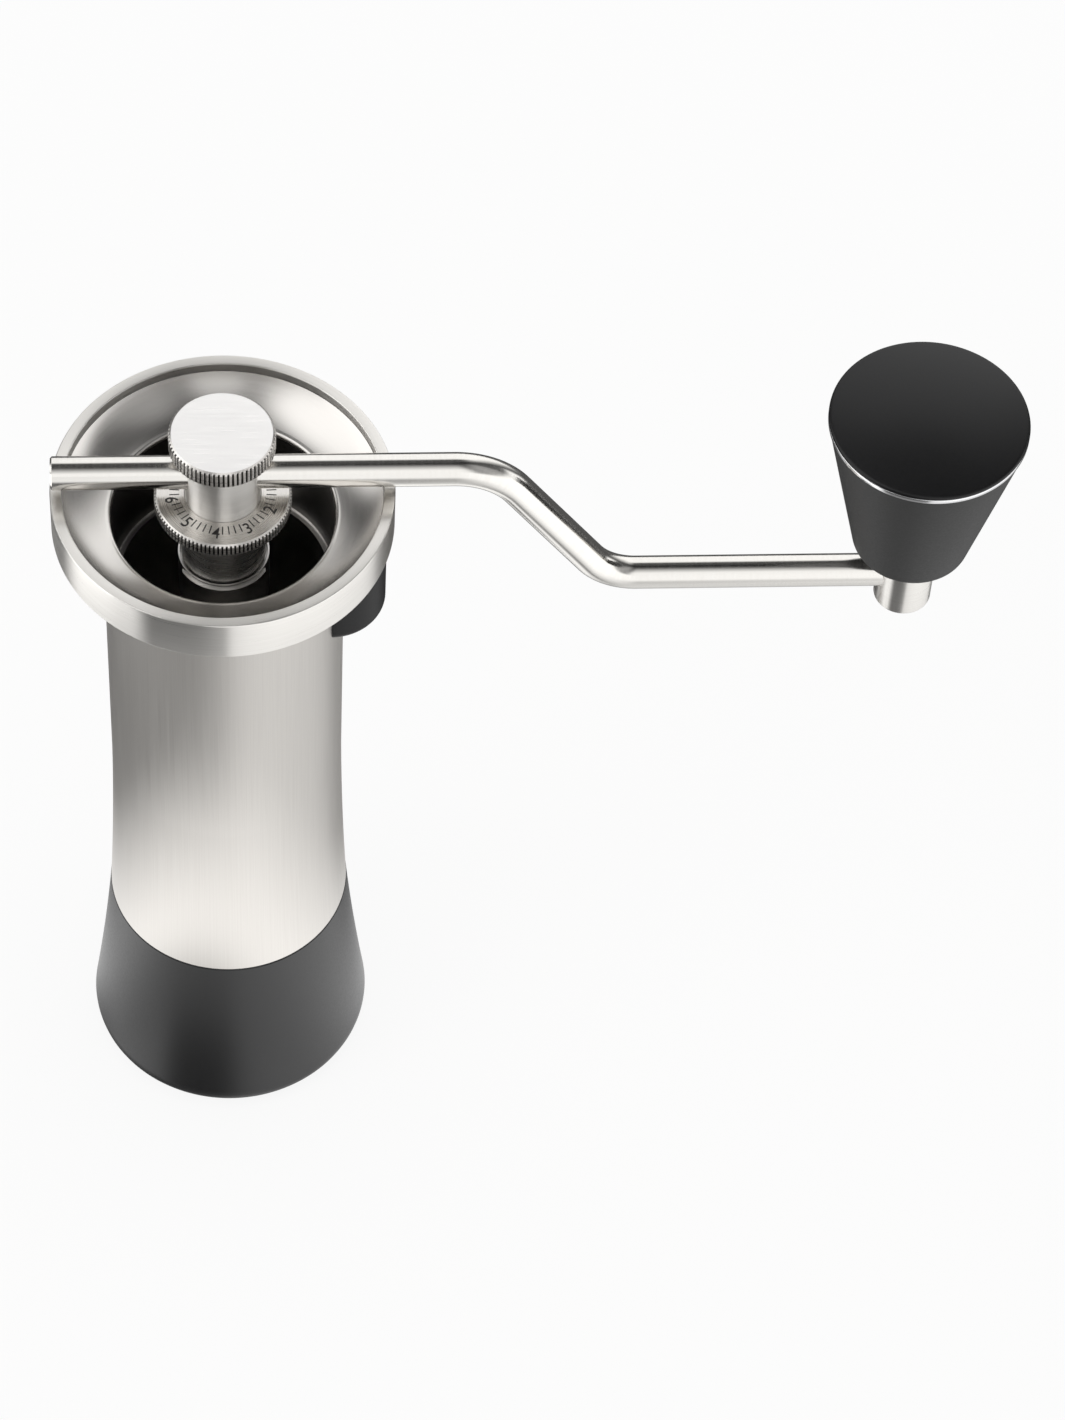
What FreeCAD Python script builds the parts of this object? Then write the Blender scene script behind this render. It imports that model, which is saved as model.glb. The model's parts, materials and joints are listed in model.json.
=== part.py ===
import FreeCAD, Part
import math
import os

# Hand crank coffee grinder, millimetres.
# Origin: centre of the flat base. +Z up along the drive shaft, +X along the crank arm.

# Catch cup and body tube
CUP_BASE_EDGE = 5.5          # rounding between base and side
CUP_FOOT_R = 33.8            # widest radius, just above the rounding
CUP_WAIST_R = 30.9           # side radius half way up, slightly hollow
CUP_TOP_R = 28.66
CUP_TOP = 54.7               # joint between cup and body
CUP_FLOOR = 3.0
CUP_BORE_R = 25.4
CUP_FLOOR_ROUND = 4.0
MOUTH_R = 26.2               # socket for the body's spigot
MOUTH_SHOULDER = 45.4
JOINT_BEVEL = 0.3
SPIGOT_R = 25.9
SPIGOT_LOW = 46.0
TUBE_FOOT_R = 28.56
TUBE_FLARE_R = 27.5
TUBE_FLARE_MID = 81.0
TUBE_FLARE_TOP = 110.0
TUBE_R = 26.9
TUBE_TOP = 196.0
BURR_BORE_R = 23.5
BURR_SHOULDER = 80.0
NECK_BORE_R = 22.3
LOWER_SEAT = 98.0
CHAMBER_R = 24.3
UPPER_SEAT = 166.0
UPPER_BORE_R = 25.5
MAGNET_R = 2.0
MAGNET_THICK = 1.7
MAGNET_COUNT = 6
MAGNET_TURN_DEG = 30.0
MAGNET_HEIGHT = 50.0
MAGNET_FACE_R = 26.3

# Hopper ring, funnel and thumb rest
RING_R = 38.0
RING_LOW = 194.7
RING_TOP = 205.8
RING_LIP_R = 35.4
RING_WALL_R = 34.6
RING_WEB_TOP = 196.7
EDGE_BEVEL = 0.35            # small bevel on turned metal edges
SHEET = 0.8
DISH_TILT_SIN = 0.45         # tilt of the dish half way in, where its sheet is offset
DISH_TILT_COS = 0.89
DISH_EDGE_R = 35.3
DISH_EDGE_Z = 203.4
DISH_MID = (30.3, 199.5)
DISH_HOLE_R = 25.8
DISH_HOLE_Z = 197.55
SKIRT_R = 24.8
SKIRT_LOW = 173.4
REST_CENTRE_X = 24.0
REST_R = 12.4
REST_LOW = 165.2
REST_TOP = 194.7
REST_ROUND = 2.5
REST_BODY_GAP = 0.1
REST_SCREW_X = 31.0
REST_SCREW_Y = 5.5
REST_SCREW_SEAT = 187.0

# Shaft, bearings of 8 x 16 x 5 mm, and their bridges
SHAFT_R = 4.0
SHAFT_LOW = 60.0
SHAFT_TOP = 207.2
SLIDE_FIT = 0.03             # radial clearance of a running or sliding fit
BEARING_R = 8.0
BEARING_H = 5.0
BALL_R = 1.19
BALL_COUNT = 8
BALL_TURN_DEG = 22.5
PITCH_R = 6.0
GROOVE_R = 1.25
INNER_RACE_R = 5.2
OUTER_RACE_R = 6.8
CAGE_HALF_WIDTH = 0.4
CAGE_H = 3.3
UPPER_BEARING = 174.0
LOWER_BEARING = 100.3
HUB_R = 10.2
HUB_LIP_R = 6.9
HUB_WELL_R = 9.85
HUB_WELL_FLOOR = 181.5
HUB_TOP = 183.8
UPPER_HUB_LOW = 171.0
LOWER_HUB_TOP = 108.0
CIRCLIP_THICK = 1.0
CIRCLIP_PLAY = 0.2
CIRCLIP_GROOVE_R = 8.45
CIRCLIP_INNER_R = 6.8
CIRCLIP_GAP_DEG = 40.0
BRIDGE_ARM_WIDTH = 18.5
ARM_ROOT = 0.5               # how far the arms run into the rim, and stand out from the hub
ARM_CREST = 182.6            # top of the arms beside the hub
ARM_FALL = (13.6, 175.0)     # radius and height that the arms' hollow top passes through
LOWER_ARM_WIDTH = 14.0
UPPER_RIM_R = 23.6
LOWER_RIM_R = 22.4
LOWER_RIM_TOP = 106.0
LOWER_ARM_TOP = 104.0

# Burrs, spring and bolt
OUTER_BURR_LOW = 58.0
LOCK_RING_LOW = 52.0
LOCK_RING_R = 22.3
LOCK_SLOTS = 4
LOCK_SLOT = 3.0
BURR_SLOPE = 0.458           # radius lost per millimetre of height
BURR_LOW = 58.5
BURR_RIM_Z = 60.0
BURR_RIM_R = 21.0
BURR_TOP = 84.0
BURR_GAP = 0.6               # radial gap between the burrs at rest
BURR_EXIT = 0.8              # how much the outer burr opens below its teeth
THROAT_Z = 69.0
THROAT_TOP_R = 18.9
FINE_TEETH = 36
FINE_TOOTH = 1.1
FINE_TOOTH_LENGTH = 12.0
COARSE_FLUTES = 6
FLUTE_R = 3.4
FLUTE_Z = 79.5               # height where a flute is half its radius deep
FLUTE_LENGTH = 30.0
TOOTH_SKEW_DEG = 18.0
OUTER_TEETH = 30
BURR_WASHER_R = 8.0
BURR_WASHER_LOW = 57.0
BOLT_R = 2.5
BOLT_HEAD_R = 4.25
BOLT_HEAD_LOW = 52.8
BOLT_TOP = 72.0
THRUST_TOP = 85.0
SEAT_LOW = 99.1
WASHER_R = 6.2
SPRING_WIRE_R = 0.6
SPRING_R = 5.0
SPRING_TURNS = 5

# Crank head, clamp and adjusting dial
HEAD_R = 8.39
HEAD_LOW = 203.9
HEAD_TOP = 219.9
BOSS_R = 6.2
BOSS_LOW = 196.0
PIN_R = 1.25
PIN_HALF = 6.1
PIN_Z = 199.0
CLAMP_R = 11.7
CLAMP_LOW = 220.2
CLAMP_TOP = 225.2
CLAMP_TEETH = 70
KNURL_DEPTH = 0.4
KNURL_FLAT = 0.45            # share of the tooth pitch that is flat on top
KNURL_BEVEL = 0.45
STEM_R = 3.0
STEM_LOW = 216.6
PAD_R = 2.9
PAD_LOW = 215.5
DIAL_R = 15.2
DIAL_LOW = 200.6
DIAL_TOP = 204.4
DIAL_TEETH = 100
DIAL_RECESS_R = 8.7
DIAL_RECESS_FLOOR = 200.4
DIAL_CAVITY_R = 6.6
DIAL_CAVITY_FLOOR = 192.3
BARREL_R = 9.42
BARREL_LOW = 183.5
NOSE_R = 4.9

# Crank arm and handle
ROD_R = 3.75
ROD_HIGH = 211.7
ROD_LOW = 173.5
ROD_START_X = -37.6
ROD_CORNER_HIGH_X = 59.8
ROD_CORNER_LOW_X = 86.1
ROD_BEND_HIGH = 17.0
ROD_BEND_LOW = 13.0
ROD_END_BEVEL = 0.4
ROD_FIT = 0.05
POST_X = 154.25
POST_R = 6.5
POST_LOW = 165.0
POST_TOP = 183.7
POST_BEVEL = 0.5
ROD_IN_POST = 1.5            # how far the rod's end passes the post's axis
SPINDLE_R = 3.0
SPINDLE_LOW = 178.2
SPINDLE_TOP = 212.4
GRIP_LOW = 184.5
GRIP_LOW_R = 12.98
GRIP_TOP = 225.6
GRIP_TOP_R = 21.95
GRIP_LOW_ROUND = 1.6
GRIP_CAVITY_R = 15.0
GRIP_CAVITY_FLOOR = 211.0
BUSH_R = 5.0
BUSH_FIT = 0.05
BUSH_FLANGE_LOW = 183.9
BUSH_FLANGE_R = 6.3
BUSH_FLANGE = 1.0
BUSH_LOW_TOP = 192.0
BUSH_HIGH_LOW = 203.0
BUSH_HIGH_FLANGE_R = 7.0
BUSH_HIGH_TOP = 212.2
TRIM_R = 22.12
TRIM_INNER_R = 14.9
TRIM_TOP = 226.7
CAP_R = 21.9
CAP_EDGE_TOP = 227.4
CAP_CROWN = 230.5
CAP_SKIRT_R = 14.8
CAP_SKIRT_WALL = 1.6
CAP_SKIRT_LOW = 219.0
CAP_FLOOR = 1.4              # thickness of the cap inside its skirt, under the crown's edge
M3_R = 1.5
M3_HEAD_R = 2.75
M3_HEAD_H = 2.4
M3_CLEARANCE = 0.1
RETAINER_R = 6.0
RETAINER_TOP = 213.4
RETAINER_SCREW_LOW = 205.0

UP = FreeCAD.Vector(0, 0, 1)
ORIGIN = FreeCAD.Vector(0, 0, 0)
DIAGONAL = math.sqrt(0.5)


def point(x, z, y=0.0):
    return FreeCAD.Vector(x, y, z)


def line(a, b):
    return Part.LineSegment(a, b).toShape()


def arc(a, mid, b):
    return Part.Arc(a, mid, b).toShape()


def turned(*outline):
    """Solid of revolution about Z. A corner is (r, z). A corner (r, z, "via") is instead a point that
    an arc passes through on its way from the corner before it to the corner after it."""
    steps = list(outline) + [outline[0]]
    edges = []
    start = point(*steps[0])
    via = None
    for step in steps[1:]:
        here = point(step[0], step[1])
        if len(step) == 3:
            via = here
            continue
        edges.append(arc(start, via, here) if via else line(start, here))
        start, via = here, None
    return Part.Face(Part.Wire(edges)).revolve(ORIGIN, UP, 360)


def drum(radius, low, high, x=0.0, y=0.0):
    return Part.makeCylinder(radius, high - low, FreeCAD.Vector(x, y, low))


def sleeve(outer, inner, low, high):
    return turned((inner, low), (outer, low), (outer, high), (inner, high))


def around(shape, count, start_deg=0.0):
    """Copies of a shape spaced evenly about Z."""
    copies = []
    for index in range(count):
        turn = start_deg + 360.0 * index / count
        copies.append(shape.copy().rotate(ORIGIN, UP, turn))
    return copies


def along_x(shape, x):
    """A shape made about Z, moved to stand on the handle's axis."""
    moved = shape.copy()
    moved.translate(FreeCAD.Vector(x, 0, 0))
    return moved


def hex_socket(across, low, high, x=0.0, y=0.0):
    corners = []
    for index in range(7):
        turn = math.radians(60 * index)
        corner = across / math.sqrt(3)
        corners.append(FreeCAD.Vector(x + corner * math.cos(turn), y + corner * math.sin(turn), low))
    return Part.Face(Part.makePolygon(corners)).extrude(FreeCAD.Vector(0, 0, high - low))


def knurled(radius, teeth, low, high):
    """A disc with a straight knurl: flat-topped teeth between V grooves, bevelled above and below."""
    corners = []
    for index in range(teeth):
        for part, r in ((0, radius), (KNURL_FLAT, radius), ((1 + KNURL_FLAT) / 2, radius - KNURL_DEPTH)):
            turn = 2 * math.pi * (index + part) / teeth
            corners.append(FreeCAD.Vector(r * math.cos(turn), r * math.sin(turn), low))
    corners.append(corners[0])
    star = Part.Face(Part.makePolygon(corners)).extrude(FreeCAD.Vector(0, 0, high - low))
    edge = radius - KNURL_BEVEL
    blank = turned((0, low), (edge, low), (radius, low + KNURL_BEVEL), (radius, high - KNURL_BEVEL),
                   (edge, high), (0, high))
    return star.common(blank)


# Cup

def cup_magnet():
    """One disc magnet, its axis along X, set in the wall of the cup's mouth."""
    return Part.makeCylinder(MAGNET_R, MAGNET_THICK, point(MAGNET_FACE_R, MAGNET_HEIGHT),
                             FreeCAD.Vector(1, 0, 0))


def cup_magnets():
    return Part.makeCompound(around(cup_magnet(), MAGNET_COUNT, MAGNET_TURN_DEG))


def catch_cup():
    flat_r = CUP_FOOT_R - CUP_BASE_EDGE
    edge = CUP_BASE_EDGE * DIAGONAL
    floor_r = CUP_BORE_R - CUP_FLOOR_ROUND
    floor_round = CUP_FLOOR_ROUND * DIAGONAL
    cup = turned(
        (0, 0), (flat_r, 0),
        (flat_r + edge, CUP_BASE_EDGE - edge, "via"), (CUP_FOOT_R, CUP_BASE_EDGE),
        (CUP_WAIST_R, (CUP_BASE_EDGE + CUP_TOP) / 2, "via"), (CUP_TOP_R, CUP_TOP - JOINT_BEVEL),
        (CUP_TOP_R - JOINT_BEVEL, CUP_TOP), (MOUTH_R, CUP_TOP), (MOUTH_R, MOUTH_SHOULDER),
        (CUP_BORE_R, MOUTH_SHOULDER), (CUP_BORE_R, CUP_FLOOR + CUP_FLOOR_ROUND),
        (floor_r + floor_round, CUP_FLOOR + CUP_FLOOR_ROUND - floor_round, "via"),
        (floor_r, CUP_FLOOR), (0, CUP_FLOOR))
    depth = MAGNET_FACE_R - CUP_BORE_R + MAGNET_THICK
    pocket = Part.makeCylinder(MAGNET_R, depth, point(CUP_BORE_R, MAGNET_HEIGHT), FreeCAD.Vector(1, 0, 0))
    return cup.cut(Part.makeCompound(around(pocket, MAGNET_COUNT, MAGNET_TURN_DEG)))


# Housing

def body_tube():
    return turned(
        (BURR_BORE_R, SPIGOT_LOW), (SPIGOT_R, SPIGOT_LOW), (SPIGOT_R, CUP_TOP),
        (TUBE_FOOT_R - JOINT_BEVEL, CUP_TOP), (TUBE_FOOT_R, CUP_TOP + JOINT_BEVEL),
        (TUBE_FLARE_R, TUBE_FLARE_MID, "via"), (TUBE_R, TUBE_FLARE_TOP), (TUBE_R, TUBE_TOP),
        (UPPER_BORE_R, TUBE_TOP), (UPPER_BORE_R, UPPER_SEAT), (CHAMBER_R, UPPER_SEAT),
        (CHAMBER_R, LOWER_SEAT), (NECK_BORE_R, LOWER_SEAT), (NECK_BORE_R, BURR_SHOULDER),
        (BURR_BORE_R, BURR_SHOULDER))


def rest_screw_places():
    return [(REST_SCREW_X, -REST_SCREW_Y), (REST_SCREW_X, REST_SCREW_Y)]


def hopper_ring():
    ledge = DISH_EDGE_Z - SHEET
    ring = turned(
        (TUBE_R, RING_LOW), (RING_R - EDGE_BEVEL, RING_LOW), (RING_R, RING_LOW + EDGE_BEVEL),
        (RING_R, RING_TOP - EDGE_BEVEL), (RING_R - EDGE_BEVEL, RING_TOP),
        (RING_LIP_R + EDGE_BEVEL, RING_TOP), (RING_LIP_R, RING_TOP - EDGE_BEVEL),
        (RING_LIP_R, ledge), (RING_WALL_R, ledge), (RING_WALL_R, RING_WEB_TOP), (TUBE_R, RING_WEB_TOP))
    for x, y in rest_screw_places():
        ring = ring.cut(drum(M3_R, RING_LOW, RING_WEB_TOP, x, y))
    return ring


def funnel():
    """Spun sheet dish that turns down into a skirt. Its edge lies on the ring's ledge."""
    roll = DISH_HOLE_R - SKIRT_R
    roll_mid = roll * DIAGONAL
    under = SHEET * DISH_TILT_COS
    inward = SHEET * DISH_TILT_SIN
    return turned(
        (DISH_EDGE_R, DISH_EDGE_Z - SHEET), (DISH_EDGE_R, DISH_EDGE_Z),
        (DISH_MID[0], DISH_MID[1], "via"), (DISH_HOLE_R, DISH_HOLE_Z),
        (DISH_HOLE_R - roll_mid, DISH_HOLE_Z - roll + roll_mid, "via"), (SKIRT_R, DISH_HOLE_Z - roll),
        (SKIRT_R, SKIRT_LOW), (UPPER_BORE_R, SKIRT_LOW), (UPPER_BORE_R, DISH_HOLE_Z - roll),
        (DISH_HOLE_R + inward, DISH_HOLE_Z - under), (DISH_MID[0] + inward, DISH_MID[1] - under, "via"),
        (DISH_EDGE_R - 2 * inward, DISH_EDGE_Z - SHEET))


def thumb_rest():
    """Half-round lug that hugs the tube under the ring, counterbored for its two screws."""
    lug = drum(REST_R, REST_LOW, REST_TOP, REST_CENTRE_X)
    low_edge = min(lug.Edges, key=lambda edge: edge.CenterOfMass.z)
    lug = lug.makeFillet(REST_ROUND, [low_edge])
    lug = lug.cut(drum(TUBE_R + REST_BODY_GAP, REST_LOW, REST_TOP))
    for x, y in rest_screw_places():
        lug = lug.cut(drum(M3_HEAD_R + M3_CLEARANCE, REST_LOW, REST_SCREW_SEAT, x, y))
        lug = lug.cut(drum(M3_R + M3_CLEARANCE, REST_LOW, REST_TOP, x, y))
    return lug


def thumb_rest_screws():
    screws = []
    for x, y in rest_screw_places():
        head_low = REST_SCREW_SEAT - M3_HEAD_H
        head = drum(M3_HEAD_R, head_low, REST_SCREW_SEAT, x, y)
        head = head.cut(hex_socket(M3_HEAD_R, head_low, head_low + M3_R, x, y))
        screws.append(head.fuse(drum(M3_R, REST_SCREW_SEAT, RING_WEB_TOP, x, y)))
    return Part.makeCompound(screws)


def cross_bar(width, length, low, high):
    """Straight bar along Y, centred on the shaft."""
    return Part.makeBox(width, length, high - low, FreeCAD.Vector(-width / 2, -length / 2, low))


def upper_bearing_bridge():
    """Rim, two wide arms that fall away from the hub, and a hub with a thin raised lip."""
    rim = sleeve(UPPER_BORE_R, UPPER_RIM_R, UPPER_SEAT, SKIRT_LOW)
    arm_end_r = UPPER_RIM_R + ARM_ROOT
    shoulder = turned(
        (HUB_LIP_R, UPPER_SEAT), (arm_end_r, UPPER_SEAT), (arm_end_r, SKIRT_LOW - ARM_ROOT),
        (ARM_FALL[0], ARM_FALL[1], "via"), (HUB_R + ARM_ROOT, ARM_CREST), (HUB_LIP_R, ARM_CREST))
    arms = shoulder.common(cross_bar(BRIDGE_ARM_WIDTH, 2 * UPPER_BORE_R, UPPER_SEAT, HUB_TOP))
    bridge = arms.fuse([rim, drum(HUB_R, UPPER_HUB_LOW, HUB_TOP)])
    seat_top = UPPER_BEARING + BEARING_H
    clip_low = seat_top + CIRCLIP_PLAY
    bridge = bridge.cut(drum(HUB_LIP_R, UPPER_SEAT, UPPER_BEARING))
    bridge = bridge.cut(drum(BEARING_R, UPPER_BEARING, HUB_WELL_FLOOR))
    bridge = bridge.cut(drum(CIRCLIP_GROOVE_R, clip_low, clip_low + CIRCLIP_THICK))
    return bridge.cut(drum(HUB_WELL_R, HUB_WELL_FLOOR, HUB_TOP)).removeSplitter()


def lower_bearing_bridge():
    rim = sleeve(CHAMBER_R, LOWER_RIM_R, LOWER_SEAT, LOWER_RIM_TOP)
    arm_end_r = LOWER_RIM_R + ARM_ROOT
    bar = cross_bar(LOWER_ARM_WIDTH, 2 * arm_end_r, LOWER_SEAT, LOWER_ARM_TOP)
    bridge = rim.fuse([bar.common(drum(arm_end_r, LOWER_SEAT, LOWER_ARM_TOP)),
                       drum(HUB_R, LOWER_SEAT, LOWER_HUB_TOP)])
    bridge = bridge.cut(drum(HUB_LIP_R, LOWER_SEAT, LOWER_HUB_TOP))
    bridge = bridge.cut(drum(BEARING_R, LOWER_SEAT, LOWER_BEARING + BEARING_H))
    clip_top = LOWER_BEARING - CIRCLIP_PLAY
    return bridge.cut(drum(CIRCLIP_GROOVE_R, clip_top - CIRCLIP_THICK, clip_top)).removeSplitter()


def circlip(low):
    """Snap ring with an open gap, seated in the hub's groove."""
    ring = sleeve(CIRCLIP_GROOVE_R, CIRCLIP_INNER_R, low, low + CIRCLIP_THICK)
    gap_width = 2 * CIRCLIP_INNER_R * math.sin(math.radians(CIRCLIP_GAP_DEG / 2))
    gap = Part.makeBox(2 * CIRCLIP_GROOVE_R, gap_width, CIRCLIP_THICK, FreeCAD.Vector(0, -gap_width / 2, low))
    return ring.cut(gap)


# Ball bearings

def ball_groove(low):
    return Part.makeTorus(PITCH_R, GROOVE_R, FreeCAD.Vector(0, 0, low + BEARING_H / 2), UP)


def outer_race(low):
    return sleeve(BEARING_R, OUTER_RACE_R, low, low + BEARING_H).cut(ball_groove(low))


def inner_race(low):
    return sleeve(INNER_RACE_R, SHAFT_R + SLIDE_FIT, low, low + BEARING_H).cut(ball_groove(low))


def balls(low):
    ball = Part.makeSphere(BALL_R, point(PITCH_R, low + BEARING_H / 2))
    return Part.makeCompound(around(ball, BALL_COUNT, BALL_TURN_DEG))


def cage(low):
    """Thin ring with a round pocket bored through it for each ball."""
    base = low + (BEARING_H - CAGE_H) / 2
    ring = sleeve(PITCH_R + CAGE_HALF_WIDTH, PITCH_R - CAGE_HALF_WIDTH, base, base + CAGE_H)
    pocket = Part.makeCylinder(GROOVE_R, 4 * CAGE_HALF_WIDTH,
                               point(PITCH_R - 2 * CAGE_HALF_WIDTH, low + BEARING_H / 2),
                               FreeCAD.Vector(1, 0, 0))
    return ring.cut(Part.makeCompound(around(pocket, BALL_COUNT, BALL_TURN_DEG)))


# Burrs

def slanted(shape, radius, height):
    """A cutter made upright at the origin, skewed, laid along the cone's side and set on its surface."""
    cutter = shape.copy()
    cutter.rotate(ORIGIN, FreeCAD.Vector(1, 0, 0), TOOTH_SKEW_DEG)
    cutter.rotate(ORIGIN, FreeCAD.Vector(0, 1, 0), -math.degrees(math.atan(BURR_SLOPE)))
    cutter.translate(point(radius, height))
    return cutter


def v_cutter(size, length):
    """Square bar stood on its edge, so that it cuts a V groove."""
    bar = Part.makeBox(size, size, length, FreeCAD.Vector(-size / 2, -size / 2, -length / 2))
    return bar.rotate(ORIGIN, UP, 45)


def cone_r(z):
    return BURR_RIM_R - BURR_SLOPE * (z - BURR_RIM_Z)


def inner_burr():
    top_r = cone_r(BURR_TOP)
    cone = turned((SHAFT_R, BURR_LOW), (BURR_RIM_R, BURR_LOW), (BURR_RIM_R, BURR_RIM_Z),
                  (top_r, BURR_TOP), (SHAFT_R, BURR_TOP))
    fine_mid = BURR_RIM_Z + FINE_TOOTH_LENGTH / 3
    fine = slanted(v_cutter(FINE_TOOTH, FINE_TOOTH_LENGTH), cone_r(fine_mid), fine_mid)
    flute_bar = Part.makeCylinder(FLUTE_R, FLUTE_LENGTH, FreeCAD.Vector(0, 0, -FLUTE_LENGTH / 4))
    flute = slanted(flute_bar, cone_r(FLUTE_Z) + FLUTE_R / 2, FLUTE_Z)
    teeth = around(fine, FINE_TEETH) + around(flute, COARSE_FLUTES)
    return cone.cut(Part.makeCompound(teeth))


def outer_burr():
    low_r = cone_r(BURR_RIM_Z) + BURR_GAP
    throat_r = cone_r(THROAT_Z) + BURR_GAP
    ring = turned((low_r + BURR_EXIT, OUTER_BURR_LOW), (BURR_BORE_R, OUTER_BURR_LOW),
                  (BURR_BORE_R, BURR_SHOULDER), (THROAT_TOP_R, BURR_SHOULDER),
                  (throat_r, THROAT_Z), (low_r, BURR_RIM_Z))
    tooth_mid = (BURR_RIM_Z + THROAT_Z) / 2
    tooth = slanted(v_cutter(FINE_TOOTH, FINE_TOOTH_LENGTH), cone_r(tooth_mid) + BURR_GAP, tooth_mid)
    return ring.cut(Part.makeCompound(around(tooth, OUTER_TEETH)))


def burr_lock_ring():
    ring = sleeve(BURR_BORE_R, LOCK_RING_R, LOCK_RING_LOW, OUTER_BURR_LOW)
    slot = Part.makeBox(3 * LOCK_SLOT, LOCK_SLOT, LOCK_SLOT / 2,
                        FreeCAD.Vector(BURR_BORE_R - 1.5 * LOCK_SLOT, -LOCK_SLOT / 2, LOCK_RING_LOW))
    return ring.cut(Part.makeCompound(around(slot, LOCK_SLOTS)))


# Shaft and spring

def drive_shaft():
    shaft = drum(SHAFT_R, SHAFT_LOW, SHAFT_TOP)
    shaft = shaft.cut(drum(BOLT_R, SHAFT_LOW, BOLT_TOP))
    return shaft.cut(head_pin())


def head_pin():
    return Part.makeCylinder(PIN_R, 2 * PIN_HALF, point(0, PIN_Z, -PIN_HALF), FreeCAD.Vector(0, 1, 0))


def burr_washer():
    return sleeve(BURR_WASHER_R, BOLT_R, BURR_WASHER_LOW, BURR_LOW)


def burr_bolt():
    head = drum(BOLT_HEAD_R, BOLT_HEAD_LOW, BURR_WASHER_LOW)
    head = head.cut(hex_socket(BOLT_HEAD_R, BOLT_HEAD_LOW, BOLT_HEAD_LOW + BOLT_R))
    return head.fuse(drum(BOLT_R, BURR_WASHER_LOW, BOLT_TOP))


def spring_seat_washer():
    return sleeve(WASHER_R, SHAFT_R + SLIDE_FIT, SEAT_LOW, LOWER_BEARING)


def spring_thrust_washer():
    return sleeve(WASHER_R, SHAFT_R, BURR_TOP, THRUST_TOP)


def arc_from(start, direction, end):
    """Arc that leaves a point in a given direction and reaches another point."""
    chord = end - start
    along = FreeCAD.Vector(chord).normalize()
    side = direction - along * direction.dot(along)
    turn = direction.getAngle(chord)
    sag = chord.Length / 2 * math.tan(turn / 2)
    return arc(start, start + chord * 0.5 + side.normalize() * sag, end)


def biarc(start, start_dir, end, end_dir):
    """Two arcs, one tangent to the next, between two points with given directions."""
    chord = end - start
    both = start_dir + end_dir
    spread = 2 * (1 - start_dir.dot(end_dir))
    reach = chord.dot(both)
    arm = (-reach + math.sqrt(reach * reach + spread * chord.dot(chord))) / spread
    middle = (start + end + (start_dir - end_dir) * arm) * 0.5
    meet_dir = FreeCAD.Vector(middle - (start + start_dir * arm)).normalize()
    return [arc_from(start, start_dir, middle), arc_from(middle, meet_dir, end)]


def helix_point(turn, low, pitch):
    angle = 2 * math.pi * turn
    return FreeCAD.Vector(SPRING_R * math.cos(angle), SPRING_R * math.sin(angle), low + pitch * turn)


def helix_direction(turn, pitch):
    angle = 2 * math.pi * turn
    run = 2 * math.pi * SPRING_R
    return FreeCAD.Vector(-run * math.sin(angle), run * math.cos(angle), pitch).normalize()


def preload_spring():
    """Round wire wound in a helix between the two washers, made of a biarc for each quarter turn."""
    low = THRUST_TOP + SPRING_WIRE_R
    pitch = (SEAT_LOW - THRUST_TOP - 2 * SPRING_WIRE_R) / SPRING_TURNS
    path = []
    for quarter in range(4 * SPRING_TURNS):
        here, there = quarter / 4, (quarter + 1) / 4
        path += biarc(helix_point(here, low, pitch), helix_direction(here, pitch),
                      helix_point(there, low, pitch), helix_direction(there, pitch))
    steps = 48
    least = min((helix_point(k / steps, low, pitch) - helix_point(j / steps, low, pitch)).Length
                for k in range(steps) for j in range(k + steps // 2, k + 2 * steps))
    print("preload_spring least gap to itself %.2f mm" % (least - 2 * SPRING_WIRE_R))
    section = Part.Wire(Part.makeCircle(SPRING_WIRE_R, helix_point(0, low, pitch), helix_direction(0, pitch)))
    return Part.Wire(path).makePipeShell([section], True, False)


# Crank head, clamp and dial

def rod_bore(radius):
    return Part.makeCylinder(radius, 4 * HEAD_R, point(-2 * HEAD_R, ROD_HIGH), FreeCAD.Vector(1, 0, 0))


def crank_head():
    """Neck with a cross hole for the arm, a threaded hole from the top and a boss on the shaft."""
    head = turned((0, BOSS_LOW), (BOSS_R, BOSS_LOW), (BOSS_R, HEAD_LOW), (HEAD_R - EDGE_BEVEL, HEAD_LOW),
                  (HEAD_R, HEAD_LOW + EDGE_BEVEL), (HEAD_R, HEAD_TOP - EDGE_BEVEL),
                  (HEAD_R - EDGE_BEVEL, HEAD_TOP), (0, HEAD_TOP))
    head = head.cut(drum(SHAFT_R, BOSS_LOW, SHAFT_TOP))
    head = head.cut(drum(STEM_R + ROD_FIT, ROD_HIGH, HEAD_TOP))
    head = head.cut(rod_bore(ROD_R + ROD_FIT))
    return head.cut(head_pin())


def clamp_pad():
    return drum(PAD_R, PAD_LOW, STEM_LOW)


def clamp_knob():
    return knurled(CLAMP_R, CLAMP_TEETH, CLAMP_LOW, CLAMP_TOP).fuse(drum(STEM_R, STEM_LOW, CLAMP_LOW))


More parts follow.
